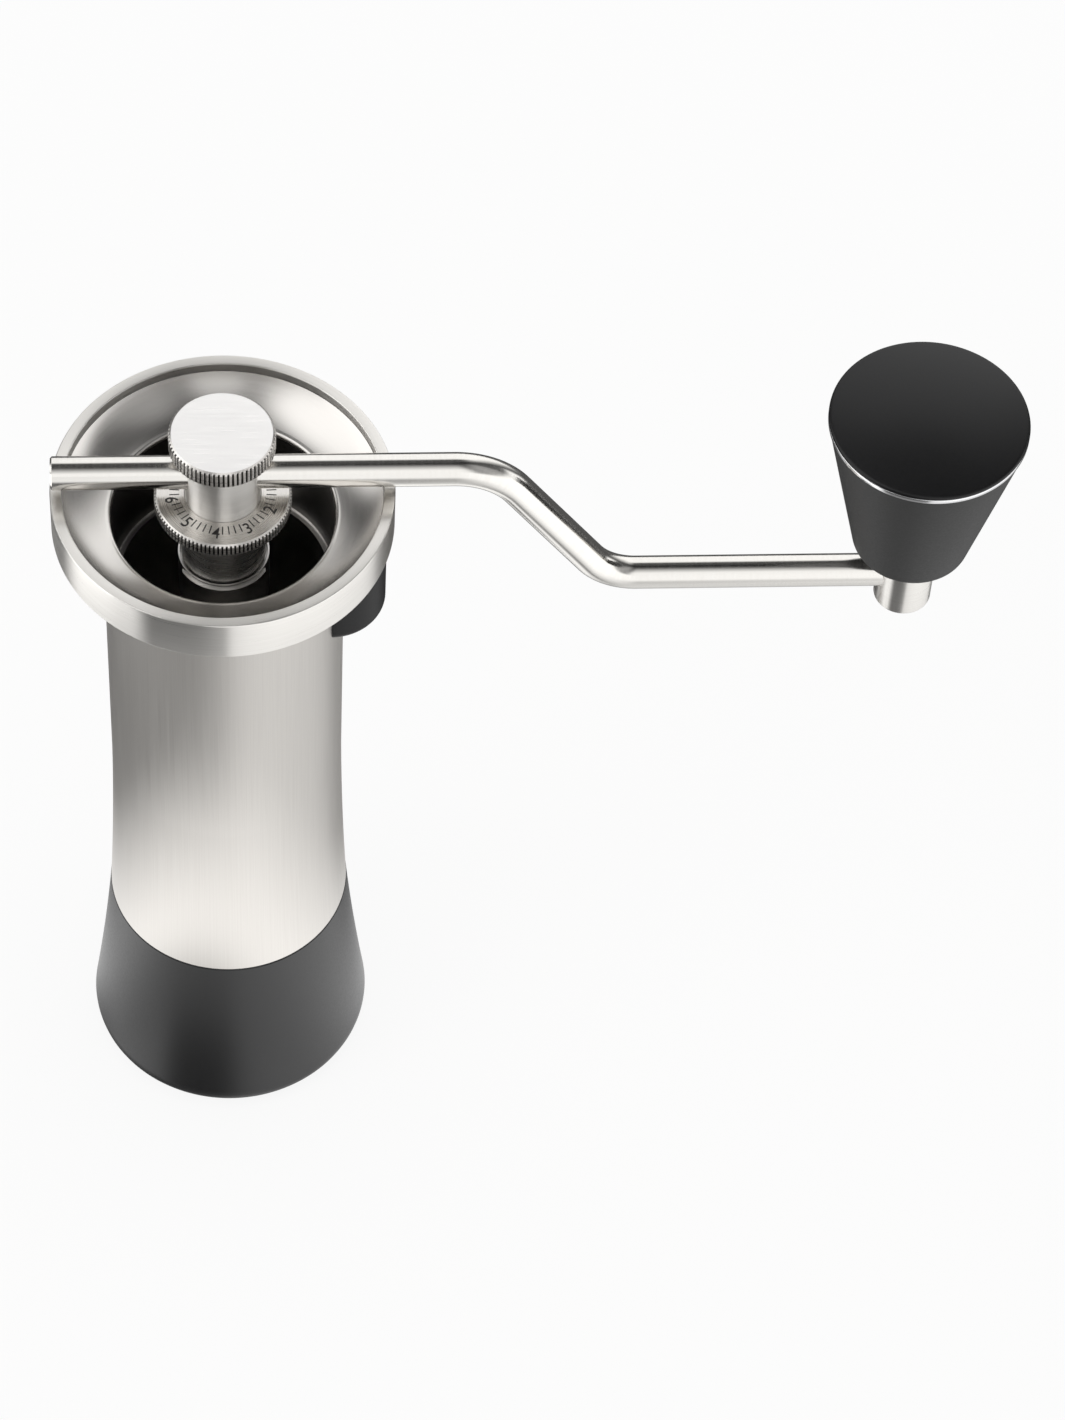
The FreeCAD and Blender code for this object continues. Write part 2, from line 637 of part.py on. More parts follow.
def adjusting_dial():
    """Knurled flange over a barrel, with a nose that stands on the upper inner race."""
    nose_low = UPPER_BEARING + BEARING_H
    barrel = turned((0, nose_low), (NOSE_R, nose_low), (NOSE_R, BARREL_LOW),
                    (BARREL_R - EDGE_BEVEL, BARREL_LOW), (BARREL_R, BARREL_LOW + EDGE_BEVEL),
                    (BARREL_R, DIAL_TOP), (0, DIAL_TOP))
    dial = knurled(DIAL_R, DIAL_TEETH, DIAL_LOW, DIAL_TOP).fuse(barrel)
    dial = dial.cut(drum(DIAL_RECESS_R, DIAL_RECESS_FLOOR, DIAL_TOP))
    dial = dial.cut(drum(DIAL_CAVITY_R, DIAL_CAVITY_FLOOR, DIAL_RECESS_FLOOR))
    return dial.cut(drum(SHAFT_R + ROD_FIT, nose_low, DIAL_CAVITY_FLOOR))


# Crank arm and handle

def bend(before, corner, after, radius):
    """Tangent points and middle of an arc that rounds the corner of a path."""
    back = FreeCAD.Vector(before - corner).normalize()
    ahead = FreeCAD.Vector(after - corner).normalize()
    half = back.getAngle(ahead) / 2
    reach = radius / math.tan(half)
    middle = radius / math.sin(half) - radius
    inward = FreeCAD.Vector(back + ahead).normalize()
    return corner + back * reach, corner + inward * middle, corner + ahead * reach


def crank_arm():
    start = point(ROD_START_X, ROD_HIGH)
    high = point(ROD_CORNER_HIGH_X, ROD_HIGH)
    low = point(ROD_CORNER_LOW_X, ROD_LOW)
    end = point(POST_X + ROD_IN_POST, ROD_LOW)
    high_in, high_mid, high_out = bend(start, high, low, ROD_BEND_HIGH)
    low_in, low_mid, low_out = bend(high, low, end, ROD_BEND_LOW)
    path = Part.Wire([line(start, high_in), arc(high_in, high_mid, high_out), line(high_out, low_in),
                      arc(low_in, low_mid, low_out), line(low_out, end)])
    section = Part.Wire(Part.makeCircle(ROD_R, start, FreeCAD.Vector(1, 0, 0)))
    rod = path.makePipeShell([section], True, False)
    free_end = [edge for edge in rod.Edges if edge.BoundBox.XMax < ROD_START_X + 0.01]
    return rod.makeChamfer(ROD_END_BEVEL, free_end)


def handle_post():
    post = turned((0, POST_LOW), (POST_R - POST_BEVEL, POST_LOW), (POST_R, POST_LOW + POST_BEVEL),
                  (POST_R, POST_TOP - POST_BEVEL), (POST_R - POST_BEVEL, POST_TOP), (0, POST_TOP))
    post = post.cut(drum(SPINDLE_R, SPINDLE_LOW, POST_TOP))
    rod_socket = Part.makeCylinder(ROD_R, 2 * POST_R + ROD_IN_POST, point(-2 * POST_R, ROD_LOW),
                                   FreeCAD.Vector(1, 0, 0))
    return along_x(post.cut(rod_socket), POST_X)


def handle_spindle():
    spindle = drum(SPINDLE_R, SPINDLE_LOW, SPINDLE_TOP)
    return along_x(spindle.cut(drum(M3_R, RETAINER_SCREW_LOW, SPINDLE_TOP)), POST_X)


def knob_retaining_washer():
    return along_x(sleeve(RETAINER_R, M3_R, SPINDLE_TOP, RETAINER_TOP), POST_X)


def knob_retaining_screw():
    head_top = RETAINER_TOP + M3_HEAD_H
    head = drum(M3_HEAD_R, RETAINER_TOP, head_top).cut(hex_socket(M3_HEAD_R, head_top - M3_R, head_top))
    return along_x(head.fuse(drum(M3_R, RETAINER_SCREW_LOW, RETAINER_TOP)), POST_X)


def knob_grip():
    round_mid = GRIP_LOW_ROUND * (1 - DIAGONAL)
    slope = (GRIP_TOP_R - GRIP_LOW_R) / (GRIP_TOP - GRIP_LOW)
    side_r = GRIP_LOW_R + slope * GRIP_LOW_ROUND
    grip = turned(
        (BUSH_R, GRIP_LOW), (GRIP_LOW_R - GRIP_LOW_ROUND, GRIP_LOW),
        (side_r - round_mid - slope, GRIP_LOW + round_mid, "via"), (side_r, GRIP_LOW + GRIP_LOW_ROUND),
        (GRIP_TOP_R, GRIP_TOP), (GRIP_CAVITY_R, GRIP_TOP), (GRIP_CAVITY_R, GRIP_CAVITY_FLOOR),
        (BUSH_R, GRIP_CAVITY_FLOOR))
    flange_top = BUSH_FLANGE_LOW + BUSH_FLANGE
    return along_x(grip.cut(drum(BUSH_FLANGE_R, GRIP_LOW, flange_top)), POST_X)


def knob_bush_lower():
    bore = SPINDLE_R + BUSH_FIT
    bush = sleeve(BUSH_FLANGE_R, bore, BUSH_FLANGE_LOW, BUSH_FLANGE_LOW + BUSH_FLANGE)
    return along_x(bush.fuse(sleeve(BUSH_R, bore, BUSH_FLANGE_LOW + BUSH_FLANGE, BUSH_LOW_TOP)), POST_X)


def knob_bush_upper():
    bore = SPINDLE_R + BUSH_FIT
    bush = sleeve(BUSH_HIGH_FLANGE_R, bore, GRIP_CAVITY_FLOOR, BUSH_HIGH_TOP)
    return along_x(bush.fuse(sleeve(BUSH_R, bore, BUSH_HIGH_LOW, GRIP_CAVITY_FLOOR)), POST_X)


def knob_trim_ring():
    bevel = EDGE_BEVEL / 2
    ring = turned((TRIM_INNER_R, GRIP_TOP), (TRIM_R - bevel, GRIP_TOP), (TRIM_R, GRIP_TOP + bevel),
                  (TRIM_R, TRIM_TOP - bevel), (TRIM_R - bevel, TRIM_TOP), (TRIM_INNER_R, TRIM_TOP))
    return along_x(ring, POST_X)


def knob_cap():
    """Low dome with a skirt that plugs into the grip."""
    rise = CAP_CROWN - CAP_EDGE_TOP
    edge_r = CAP_R - EDGE_BEVEL
    dome_r = (edge_r * edge_r + rise * rise) / (2 * rise)
    half_z = CAP_CROWN - dome_r + math.sqrt(dome_r * dome_r - edge_r * edge_r / 4)
    skirt_inner = CAP_SKIRT_R - CAP_SKIRT_WALL
    cap = turned(
        (0, TRIM_TOP + CAP_FLOOR), (skirt_inner, TRIM_TOP + CAP_FLOOR), (skirt_inner, CAP_SKIRT_LOW),
        (CAP_SKIRT_R, CAP_SKIRT_LOW), (CAP_SKIRT_R, TRIM_TOP), (CAP_R, TRIM_TOP),
        (CAP_R, CAP_EDGE_TOP - EDGE_BEVEL), (edge_r, CAP_EDGE_TOP),
        (edge_r / 2, half_z, "via"), (0, CAP_CROWN))
    return along_x(cap, POST_X)


PARTS = {
    "catch_cup": catch_cup(),
    "cup_magnets": cup_magnets(),
    "body_tube": body_tube(),
    "hopper_ring": hopper_ring(),
    "funnel": funnel(),
    "thumb_rest": thumb_rest(),
    "thumb_rest_screws": thumb_rest_screws(),
    "upper_bearing_bridge": upper_bearing_bridge(),
    "lower_bearing_bridge": lower_bearing_bridge(),
    "upper_circlip": circlip(UPPER_BEARING + BEARING_H + CIRCLIP_PLAY),
    "lower_circlip": circlip(LOWER_BEARING - CIRCLIP_PLAY - CIRCLIP_THICK),
    "outer_burr": outer_burr(),
    "burr_lock_ring": burr_lock_ring(),
    "drive_shaft": drive_shaft(),
    "inner_burr": inner_burr(),
    "burr_washer": burr_washer(),
    "burr_bolt": burr_bolt(),
    "preload_spring": preload_spring(),
    "spring_seat_washer": spring_seat_washer(),
    "spring_thrust_washer": spring_thrust_washer(),
    "crank_head": crank_head(),
    "crank_head_pin": head_pin(),
    "clamp_pad": clamp_pad(),
    "clamp_knob": clamp_knob(),
    "adjusting_dial": adjusting_dial(),
    "crank_arm": crank_arm(),
    "handle_post": handle_post(),
    "handle_spindle": handle_spindle(),
    "knob_retaining_washer": knob_retaining_washer(),
    "knob_retaining_screw": knob_retaining_screw(),
    "knob_grip": knob_grip(),
    "knob_bush_lower": knob_bush_lower(),
    "knob_bush_upper": knob_bush_upper(),
    "knob_trim_ring": knob_trim_ring(),
    "knob_cap": knob_cap(),
}
for place, low in (("upper", UPPER_BEARING), ("lower", LOWER_BEARING)):
    PARTS[place + "_bearing_outer_race"] = outer_race(low)
    PARTS[place + "_bearing_inner_race"] = inner_race(low)
    PARTS[place + "_bearing_balls"] = balls(low)
    PARTS[place + "_bearing_cage"] = cage(low)

os.makedirs("parts", exist_ok=True)
for name, shape in PARTS.items():
    facts = (name, shape.isValid(), len(shape.Solids), shape.Volume)
    print("%-26s valid %s solids %d volume %9.1f mm3" % facts)
    shape.exportStep("parts/%s.step" % name)
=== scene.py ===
import json
import math
from collections import namedtuple

import bmesh
import bpy
import numpy as np
from mathutils import Matrix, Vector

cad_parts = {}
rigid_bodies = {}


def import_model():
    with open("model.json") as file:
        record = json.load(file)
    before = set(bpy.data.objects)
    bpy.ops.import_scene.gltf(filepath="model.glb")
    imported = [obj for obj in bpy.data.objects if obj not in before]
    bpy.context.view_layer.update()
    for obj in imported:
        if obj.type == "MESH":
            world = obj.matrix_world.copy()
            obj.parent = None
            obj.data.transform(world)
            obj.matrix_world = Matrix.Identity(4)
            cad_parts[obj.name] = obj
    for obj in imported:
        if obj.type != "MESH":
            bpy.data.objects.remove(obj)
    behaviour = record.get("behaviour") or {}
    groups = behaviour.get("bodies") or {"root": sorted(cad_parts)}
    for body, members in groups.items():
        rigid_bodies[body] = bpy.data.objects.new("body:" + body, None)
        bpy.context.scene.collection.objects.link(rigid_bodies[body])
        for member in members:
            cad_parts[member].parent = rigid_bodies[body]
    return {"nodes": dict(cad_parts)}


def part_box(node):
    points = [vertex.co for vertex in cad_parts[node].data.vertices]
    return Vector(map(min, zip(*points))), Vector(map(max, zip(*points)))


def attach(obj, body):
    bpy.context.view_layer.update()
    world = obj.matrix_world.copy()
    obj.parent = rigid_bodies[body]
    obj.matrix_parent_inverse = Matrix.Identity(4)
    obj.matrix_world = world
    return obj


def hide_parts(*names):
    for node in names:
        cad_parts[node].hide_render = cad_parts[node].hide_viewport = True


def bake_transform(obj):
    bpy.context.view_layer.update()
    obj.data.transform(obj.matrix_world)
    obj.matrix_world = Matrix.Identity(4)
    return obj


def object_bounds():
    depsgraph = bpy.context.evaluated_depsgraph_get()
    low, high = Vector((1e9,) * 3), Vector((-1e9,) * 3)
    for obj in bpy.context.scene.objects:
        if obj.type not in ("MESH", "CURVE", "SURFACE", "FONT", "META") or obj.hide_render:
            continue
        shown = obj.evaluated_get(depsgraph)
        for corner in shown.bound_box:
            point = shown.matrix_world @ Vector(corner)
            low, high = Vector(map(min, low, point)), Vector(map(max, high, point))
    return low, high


for leftover in list(bpy.data.objects):
    bpy.data.objects.remove(leftover)
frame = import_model()
cad_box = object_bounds()

# Sizes are in millimetres here and become metres when a mesh is made. Outer sizes and heights are read from
# the frame's boxes by span, and the values below are those that a box doesn't show. A point is a radius
# and a height, or an X and a height on the arm.
MM = 0.001
CIRCLE = 2 * math.pi
# An edge that folds more than SHARP_EDGE stays sharp, a row narrower than POINT_SIZE is one point, and a
# face whose normal rises more than UPWARD is level. A broken edge is drawn with EDGE_POINTS points.
SHARP_EDGE = math.radians(38)
POINT_SIZE = 0.000001
UPWARD = 0.99
EDGE_POINTS = 6

CUP_TOP_R = 28.66
CUP_WAIST_R = 30.9
CUP_FOOT_ROUND = 5.5
CUP_BORE_R = 25.4
CUP_FLOOR = 3.0
CUP_FLOOR_ROUND = 4.0
MOUTH_R = 26.36
MOUTH_DEPTH = 9.3
JOINT_BEVEL = 0.3

TUBE_R = 26.9
TUBE_FLARE = ((27.5, 81.0), (26.9, 110.0))
SPIGOT_R = 25.9
BURR_LAND_R = 22.3

RING_LIP_R = 35.4
RING_WALL_R = 34.6
RING_LEDGE_Z = 202.6
RING_WEB = 2.0
RING_EDGE = 0.35

SHEET = 0.8
DISH_MIDDLE = (30.3, 199.5)
DISH_FOOT = (25.8, 197.55)
SKIRT_R = 24.8
SKIRT_RIM = 0.5

BOSS_R = 6.2
NECK_LOW = 203.9
NECK_EDGE = 0.35

STEM_R = 3.0
CLAMP_LOW = 220.2
CLAMP_TEETH = 70
DIAL_TEETH = 100
KNURL_DEPTH = 0.32
KNURL_FLAT = 0.45
KNURL_BEVEL = 0.6

DIAL_LOW = 200.6
BARREL_R = 9.42
BARREL_LOW = 183.5
NOSE_R = 4.9
DIAL_RECESS = (8.5, 200.4)
DIAL_CAVITY = (6.6, 192.3)
DIAL_BORE_R = 4.05

NUMBER_HEIGHT = 3.0
NUMBER_R = 11.4
NUMBER_NARROWING = 0.85
NUMBER_COUNT = 10
TICKS_PER_NUMBER = 5
FIRST_NUMBER = math.radians(45.9)
TICK_REACH = (9.6, 11.8)
TICK_WIDTH = 0.28
MARK_PROUD = 0.012
MARK_WELD = 0.0001
LETTER_DEPTH = 0.5
LETTER_WEIGHT = 0.008

ARM_ROD_R = 3.75
ARM_FIT = 0.05
ARM_CORNERS = ((-37.6, 211.7), (59.8, 211.7), (86.1, 173.5), (155.75, 173.5))
ARM_BENDS = (17.0, 13.0)
ARM_BEVEL = 0.4
POST_BEVEL = 0.5

SPRING_WIRE_R = 0.6
SPRING_TURNS = 5
SPRING_STEPS = 48
WIRE_SIDES = 16

GRIP_LOW_R = 12.98
GRIP_ROUND = 1.6
GRIP_BORE_R = 5.0
GRIP_POCKET = (15.0, 211.0)
BUSH_FLANGE = (6.35, 0.4)
BAND_BEVEL = 0.17
CAP_PLUG = (14.8, 219.0)
CAP_WALL = 1.6
CAP_CROWN = 3.0
CAP_EDGE = 0.6

Span = namedtuple("Span", "r low high x")


def span(node):
    """Outer radius, lowest and highest point and middle in X of a node's box, in millimetres."""
    low, high = (np.array(corner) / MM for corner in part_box(node))
    return Span(max((high - low)[:2]) / 2, low[2], high[2], (low[0] + high[0]) / 2)


# Shapes

def arc(start, via, end, count=24):
    """Points from start to end on the circle through three points. The centre is where the perpendicular
    bisectors of two chords meet, and the angle runs evenly from start past via to end."""
    start, via, end = (np.array(p, float) for p in (start, via, end))
    chords = 2 * np.array([via - start, end - start])
    squares = np.array([via @ via - start @ start, end @ end - start @ start])
    centre = np.linalg.solve(chords, squares)
    first, middle, last = (math.atan2(p[1] - centre[1], p[0] - centre[0]) for p in (start, via, end))
    sweep = (last - first) % CIRCLE
    if (middle - first) % CIRCLE > sweep:
        sweep -= CIRCLE
    return bend(centre, np.linalg.norm(start - centre), first, first + sweep, count)


def bend(centre, radius, first, last, count=12):
    """Points on a circle from one angle to another: the centre plus radius (cos, sin)."""
    turn = np.linspace(first, last, count)
    return np.array(centre) + radius * np.stack([np.cos(turn), np.sin(turn)], -1)


def outline(*steps):
    """Profile of a turned piece as points (r, z). A step is a corner (r, z), a corner (r, z, break) whose
    edge is broken by a quadratic curve that starts and ends that far from it, or the points of an arc."""
    corners = []
    for step in steps:
        rows = step if isinstance(step, np.ndarray) else [step]
        corners += [(np.array(row[:2], float), row[2] if len(row) == 3 else 0.0) for row in rows]
    points = []
    for index, (corner, edge_break) in enumerate(corners):
        if not edge_break:
            points.append(corner)
            continue
        before = corners[index - 1][0] - corner
        after = corners[(index + 1) % len(corners)][0] - corner
        a = corner + before / np.linalg.norm(before) * edge_break
        b = corner + after / np.linalg.norm(after) * edge_break
        t = np.linspace(0, 1, EDGE_POINTS)[:, None]
        points += list((1 - t) ** 2 * a + 2 * t * (1 - t) * corner + t ** 2 * b)
    return np.array(points)


def skin(name, grid, lengths, brush, groove, rows_join=False):
    """Mesh on a grid of points in millimetres: rows run along the shape and columns go round it and join
    up. Rows join up too on a closed section, and a row that is one point becomes one vertex. UV is the
    share of the way round and the length along. brush is the grid that the surface's grain follows, and
    groove is how deep in a knurl each point lies, from 0 to 1."""
    rows, columns = grid.shape[:2]
    number = np.arange(rows * columns).reshape(rows, columns)
    point_rows = np.ptp(grid, axis=1).max(axis=1) < POINT_SIZE
    number[point_rows] = number[point_rows, :1]
    used, number = np.unique(number, return_inverse=True)
    number = number.reshape(rows, columns)
    row = np.arange(rows if rows_join else rows - 1)
    above = (row + 1) % rows
    beside = np.roll(number, -1, 1)
    quads = np.stack([number[row], beside[row], beside[above], number[above]], -1)
    u, v = np.meshgrid(np.arange(columns) / columns, lengths[row])
    v_next = np.broadcast_to(lengths[row + 1][:, None], v.shape)
    u_next = u + 1 / columns
    places = np.stack([np.stack([u, v], -1), np.stack([u_next, v], -1),
                       np.stack([u_next, v_next], -1), np.stack([u, v_next], -1)], 2)
    faces, uvs = [], []
    for wanted, keep in ((~point_rows[row] & ~point_rows[above], [0, 1, 2, 3]),
                         (point_rows[row], [0, 2, 3]), (point_rows[above], [0, 1, 2])):
        faces += quads[wanted][..., keep].reshape(-1, len(keep)).tolist()
        uvs.append(places[wanted][:, :, keep].reshape(-1))
    mesh = bpy.data.meshes.new(name)
    mesh.from_pydata(grid.reshape(-1, 3)[used] * MM, [], faces)
    mesh.uv_layers.new(name="UVMap").data.foreach_set("uv", np.concatenate(uvs))
    grain = mesh.attributes.new("brush", "FLOAT_VECTOR", "POINT")
    grain.data.foreach_set("vector", brush.reshape(-1, 3)[used].ravel())
    depth = mesh.attributes.new("groove", "FLOAT", "POINT")
    depth.data.foreach_set("value", groove.reshape(-1)[used])
    mesh.shade_smooth()
    mesh.set_sharp_from_angle(angle=SHARP_EDGE)
    obj = bpy.data.objects.new(name, mesh)
    bpy.context.scene.collection.objects.link(obj)
    return obj


def turned(name, profile, around=256, x=0.0, closed=False, star=None):
    """Surface of revolution: (s, turn) is at (x + r cos turn, r sin turn, z) for the profile's r(s), z(s).
    A star, the radius of a knurl at each turn, holds r down to the smaller of the two. The grain's
    coordinates are the widest circle's, and the length along the profile."""
    turn = np.arange(around) / around * CIRCLE
    steps = np.vstack([profile, profile[:1]]) if closed else profile
    lengths = np.append(0, np.cumsum(np.linalg.norm(np.diff(steps, axis=0), axis=1)))
    plain = np.repeat(profile[:, :1], around, axis=1)
    r = plain if star is None else np.minimum(plain, star)
    groove = (plain - r) / KNURL_DEPTH
    z = np.broadcast_to(profile[:, 1:], r.shape)
    grid = np.stack([x + r * np.cos(turn), r * np.sin(turn), z], -1)
    along = np.broadcast_to(lengths[:len(profile), None], r.shape)
    wide = np.full_like(r, profile[:, 0].max())
    brush = np.stack([wide * np.cos(turn), wide * np.sin(turn), along], -1)
    return skin(name, grid, lengths, brush, groove, rows_join=closed)


def knurl(radius, teeth, steps=12):
    """Radius of a straight knurl at each turn: flat on the tooth's top, then down a groove with sloped
    sides, the wave 1 - |2p - 1| of the way p across it, doubled and cut off at the groove's depth."""
    way = np.arange(teeth * steps) % steps / steps
    across = np.clip((way - KNURL_FLAT) / (1 - KNURL_FLAT), 0, 1)
    return radius - KNURL_DEPTH * np.minimum(1, 2 * (1 - np.abs(2 * across - 1)))


def knurled_edge(r, low, high):
    """Rim of a knurled disc from below to above: a bevel on each side, with a row where the grooves run
    out."""
    top = high - KNURL_BEVEL
    bottom = low + KNURL_BEVEL
    return [(r - KNURL_BEVEL, low), (r - KNURL_DEPTH, bottom - KNURL_DEPTH), (r, bottom),
            (r, top), (r - KNURL_DEPTH, top + KNURL_DEPTH), (r - KNURL_BEVEL, high)]


def bent_path(corners, radii):
    """Straight runs joined by arcs that touch them: an arc's ends lie radius / tan(half the corner's
    angle) from the corner, and its middle lies radius / sin(half the angle) - radius from it."""
    corners = np.array(corners)
    points = [corners[0]]
    for before, corner, after, radius in zip(corners, corners[1:], corners[2:], radii):
        back = (before - corner) / np.linalg.norm(before - corner)
        ahead = (after - corner) / np.linalg.norm(after - corner)
        half = math.acos(back @ ahead) / 2
        inward = (back + ahead) / np.linalg.norm(back + ahead)
        start, end = (corner + way * radius / math.tan(half) for way in (back, ahead))
        points += list(arc(start, corner + inward * (radius / math.sin(half) - radius), end))
    points.append(corners[-1])
    return np.array(points)


def rod(name, path, radius, end_bevel, around=72):
    """Round bar along a path in the XZ plane: (s, turn) is path(s) + radius (cos turn Y + sin turn N),
    where N is the path's direction turned a quarter in that plane. Both ends close to a point over a small
    bevel."""
    ahead = np.gradient(path, axis=0)
    ahead /= np.linalg.norm(ahead, axis=1)[:, None]
    lead, tail = ahead[0] * end_bevel, ahead[-1] * end_bevel
    first, last = path[:1], path[-1:]
    path = np.vstack([first, first, first + lead, path[1:-1], last - tail, last, last])
    ahead = np.vstack([ahead[:1]] * 2 + [ahead] + [ahead[-1:]] * 2)
    reach = np.full(len(path), radius)
    reach[[0, -1]] = 0
    reach[[1, -2]] = radius - end_bevel
    turn = np.arange(around) / around * CIRCLE
    side = reach[:, None] * np.cos(turn)
    rise = reach[:, None] * np.sin(turn)
    grid = np.stack([path[:, :1] - ahead[:, 1:] * rise, side, path[:, 1:] + ahead[:, :1] * rise], -1)
    lengths = np.append(0, np.cumsum(np.linalg.norm(np.diff(path, axis=0), axis=1)))
    along = np.broadcast_to(lengths[:, None], side.shape)
    ring = np.full_like(side, radius)
    brush = np.stack([ring * np.cos(turn), ring * np.sin(turn), along], -1)
    return skin(name, grid, np.append(lengths, lengths[-1]), brush, np.zeros_like(side))


# Materials

NOISE_ROUGHNESS = 0.6
NOISE_LOW = 0.3
NOISE_HIGH = 0.7
QUARTER_TURN = 0.25
ABS_IOR = 1.53
PEBBLE_MM = 0.5
# A Mix node's sockets for colours go by number, because they share their names with its other sockets.
MIX_SHARE = 0
MIX_FIRST = 6
MIX_SECOND = 7
MIX_RESULT = 2


def linear(hex_colour):
    """sRGB hex to linear: c / 12.92 up to 0.04045, and ((c + 0.055) / 1.055) ** 2.4 above."""
    c = np.array([int(hex_colour[i:i + 2], 16) for i in (1, 3, 5)]) / 255
    return (*np.where(c <= 0.04045, c / 12.92, ((c + 0.055) / 1.055) ** 2.4).tolist(), 1.0)


def add(tree, kind, inputs=(), **settings):
    """Adds one shader node, sets its settings, and fills its inputs, by name or in order, with values or
    links."""
    made = tree.nodes.new("ShaderNode" + kind)
    for name, value in settings.items():
        setattr(made, name, value)
    for socket, value in inputs.items() if isinstance(inputs, dict) else enumerate(inputs):
        if isinstance(value, bpy.types.NodeSocket):
            tree.links.new(value, made.inputs[socket])
        else:
            made.inputs[socket].default_value = value
    return made


def blank(name):
    """New material with an empty node tree."""
    material = bpy.data.materials.new(name)
    material.use_nodes = True
    material.node_tree.nodes.clear()
    return material, material.node_tree


def surface(tree, vector, tones, rough, relief, depth_mm, detail, **shading):
    """Noise over a vector that sets the tone between two hex colours, the roughness and a fine relief, on
    a Principled surface with further settings."""
    noise = add(tree, "TexNoise", {"Vector": vector, "Scale": 1.0, "Detail": detail,
                                   "Roughness": NOISE_ROUGHNESS}).outputs["Fac"]
    colour = add(tree, "ValToRGB", {"Fac": noise})
    for stop, tone in zip(colour.color_ramp.elements, tones):
        stop.color = linear(tone)
    roughness = add(tree, "MapRange", (noise, NOISE_LOW, NOISE_HIGH, *rough)).outputs[0]
    bump = add(tree, "Bump", {"Height": noise, "Strength": relief, "Distance": depth_mm * MM})
    shader = add(tree, "BsdfPrincipled", {
        "Base Color": colour.outputs["Color"], "Roughness": roughness,
        "Normal": bump.outputs["Normal"], **shading})
    add(tree, "OutputMaterial", {"Surface": shader.outputs["BSDF"]})
    return shader, colour.outputs["Color"]


def brushed_metal(name, grain, tones, rough, anisotropy, quarter_turn, relief=0.06, painted_groove_shade=None):
    """Stainless steel or aluminium rubbed with a belt or pad, so that fine scratches all run one way. The
    eye sees faint lines and a highlight drawn out across them. grain is the noise's cells per millimetre
    along the brush coordinates: real scratches of about 0.05 mm are drawn 0.3 mm wide, or the render would
    lose them. In a knurl's grooves the base colour goes over into the last argument's dark colour the deeper
    a point lies: painted shade, for the shade that falls in the grooves."""
    material, tree = blank(name)
    brush = add(tree, "Attribute", attribute_name="brush").outputs["Vector"]
    lines = add(tree, "Mapping", {"Vector": brush, "Scale": grain}).outputs["Vector"]
    across = add(tree, "Tangent", direction_type="UV_MAP", uv_map="UVMap").outputs["Tangent"]
    shader, colour = surface(tree, lines, tones, rough, relief, depth_mm=0.02, detail=4.0, **{
        "Metallic": 1.0, "Anisotropic": anisotropy, "Tangent": across,
        "Anisotropic Rotation": QUARTER_TURN if quarter_turn else 0.0})
    # Painted shade: the deeper a point lies in a knurl's groove, the more of the dark colour goes into the
    # base colour.
    if painted_groove_shade:
        groove = add(tree, "Attribute", attribute_name="groove").outputs["Fac"]
        colours = {MIX_SHARE: groove, MIX_FIRST: colour, MIX_SECOND: linear(painted_groove_shade)}
        mixed = add(tree, "Mix", colours, data_type="RGBA").outputs[MIX_RESULT]
        tree.links.new(mixed, shader.inputs["Base Color"])
    return material


def moulded_abs(name, tones, rough, relief, gloss=0.5):
    """Black ABS moulded in a spark-eroded tool, which leaves an even pebble grain. The eye sees a soft
    sheen with a slight sparkle. The grain of about 0.1 mm is drawn PEBBLE_MM wide, or the render would
    lose it. The enamel that fills the dial's marks is built the same way."""
    material, tree = blank(name)
    place = add(tree, "TexCoord").outputs["Object"]
    cells = [1 / (PEBBLE_MM * MM)] * 3
    pebbles = add(tree, "Mapping", {"Vector": place, "Scale": cells}).outputs["Vector"]
    surface(tree, pebbles, tones, rough, relief, depth_mm=0.05, detail=2.0,
            **{"IOR": ABS_IOR, "Specular IOR Level": gloss})
    return material


def worked_metal(name, tones, rough, mark_mm, stretch=(1, 1, 1)):
    """Plain metal with the marks of its making, as cells of mark_mm stretched along the tool's path. The
    eye sees small changes of tone and gloss."""
    material, tree = blank(name)
    place = add(tree, "TexCoord").outputs["Object"]
    cells = [share / (mark_mm * MM) for share in stretch]
    marks = add(tree, "Mapping", {"Vector": place, "Scale": cells}).outputs["Vector"]
    surface(tree, marks, tones, rough, relief=0.05, depth_mm=0.03, detail=4.0, **{"Metallic": 1.0})
    return material


# Cells of the grain for each millimetre, twice across and once along the brush coordinates.
LENGTHWISE = (3.0, 3.0, 0.03)
ROUND = (0.05, 0.05, 3.2)
DRAWN = (0.3, 0.3, 1.6)

# The tube is rubbed along its length on a belt: faint upright lines and a sheen drawn out sideways.
TUBE_STEEL = brushed_metal(
    "stainless_brushed_lengthwise", LENGTHWISE, ("#d3cfca", "#e3e0db"), rough=(0.28, 0.34),
    anisotropy=0.94, quarter_turn=False, relief=0.03)
# The ring and the post are rubbed round in a lathe: faint level lines and upright bands of light and dark.
TURNED_STEEL = brushed_metal(
    "stainless_brushed_round", ROUND, ("#e0ddd8", "#f3f1ed"), rough=(0.27, 0.34),
    anisotropy=0.97, quarter_turn=True)
# The neck is rubbed round with a coarser pad: the same bands, paler and softer.
NECK_STEEL = brushed_metal(
    "stainless_brushed_coarse", ROUND, ("#e6e3de", "#f8f6f2"), rough=(0.38, 0.46),
    anisotropy=0.97, quarter_turn=True)
# The clamp knob and the dial are turned and knurled: bright tooth tops between grooves darkened with painted
# shade.
KNURLED_STEEL = brushed_metal(
    "stainless_turned_knurled", ROUND, ("#d2cec9", "#eae7e3"), rough=(0.24, 0.32),
    anisotropy=0.95, quarter_turn=True, painted_groove_shade="#262321")
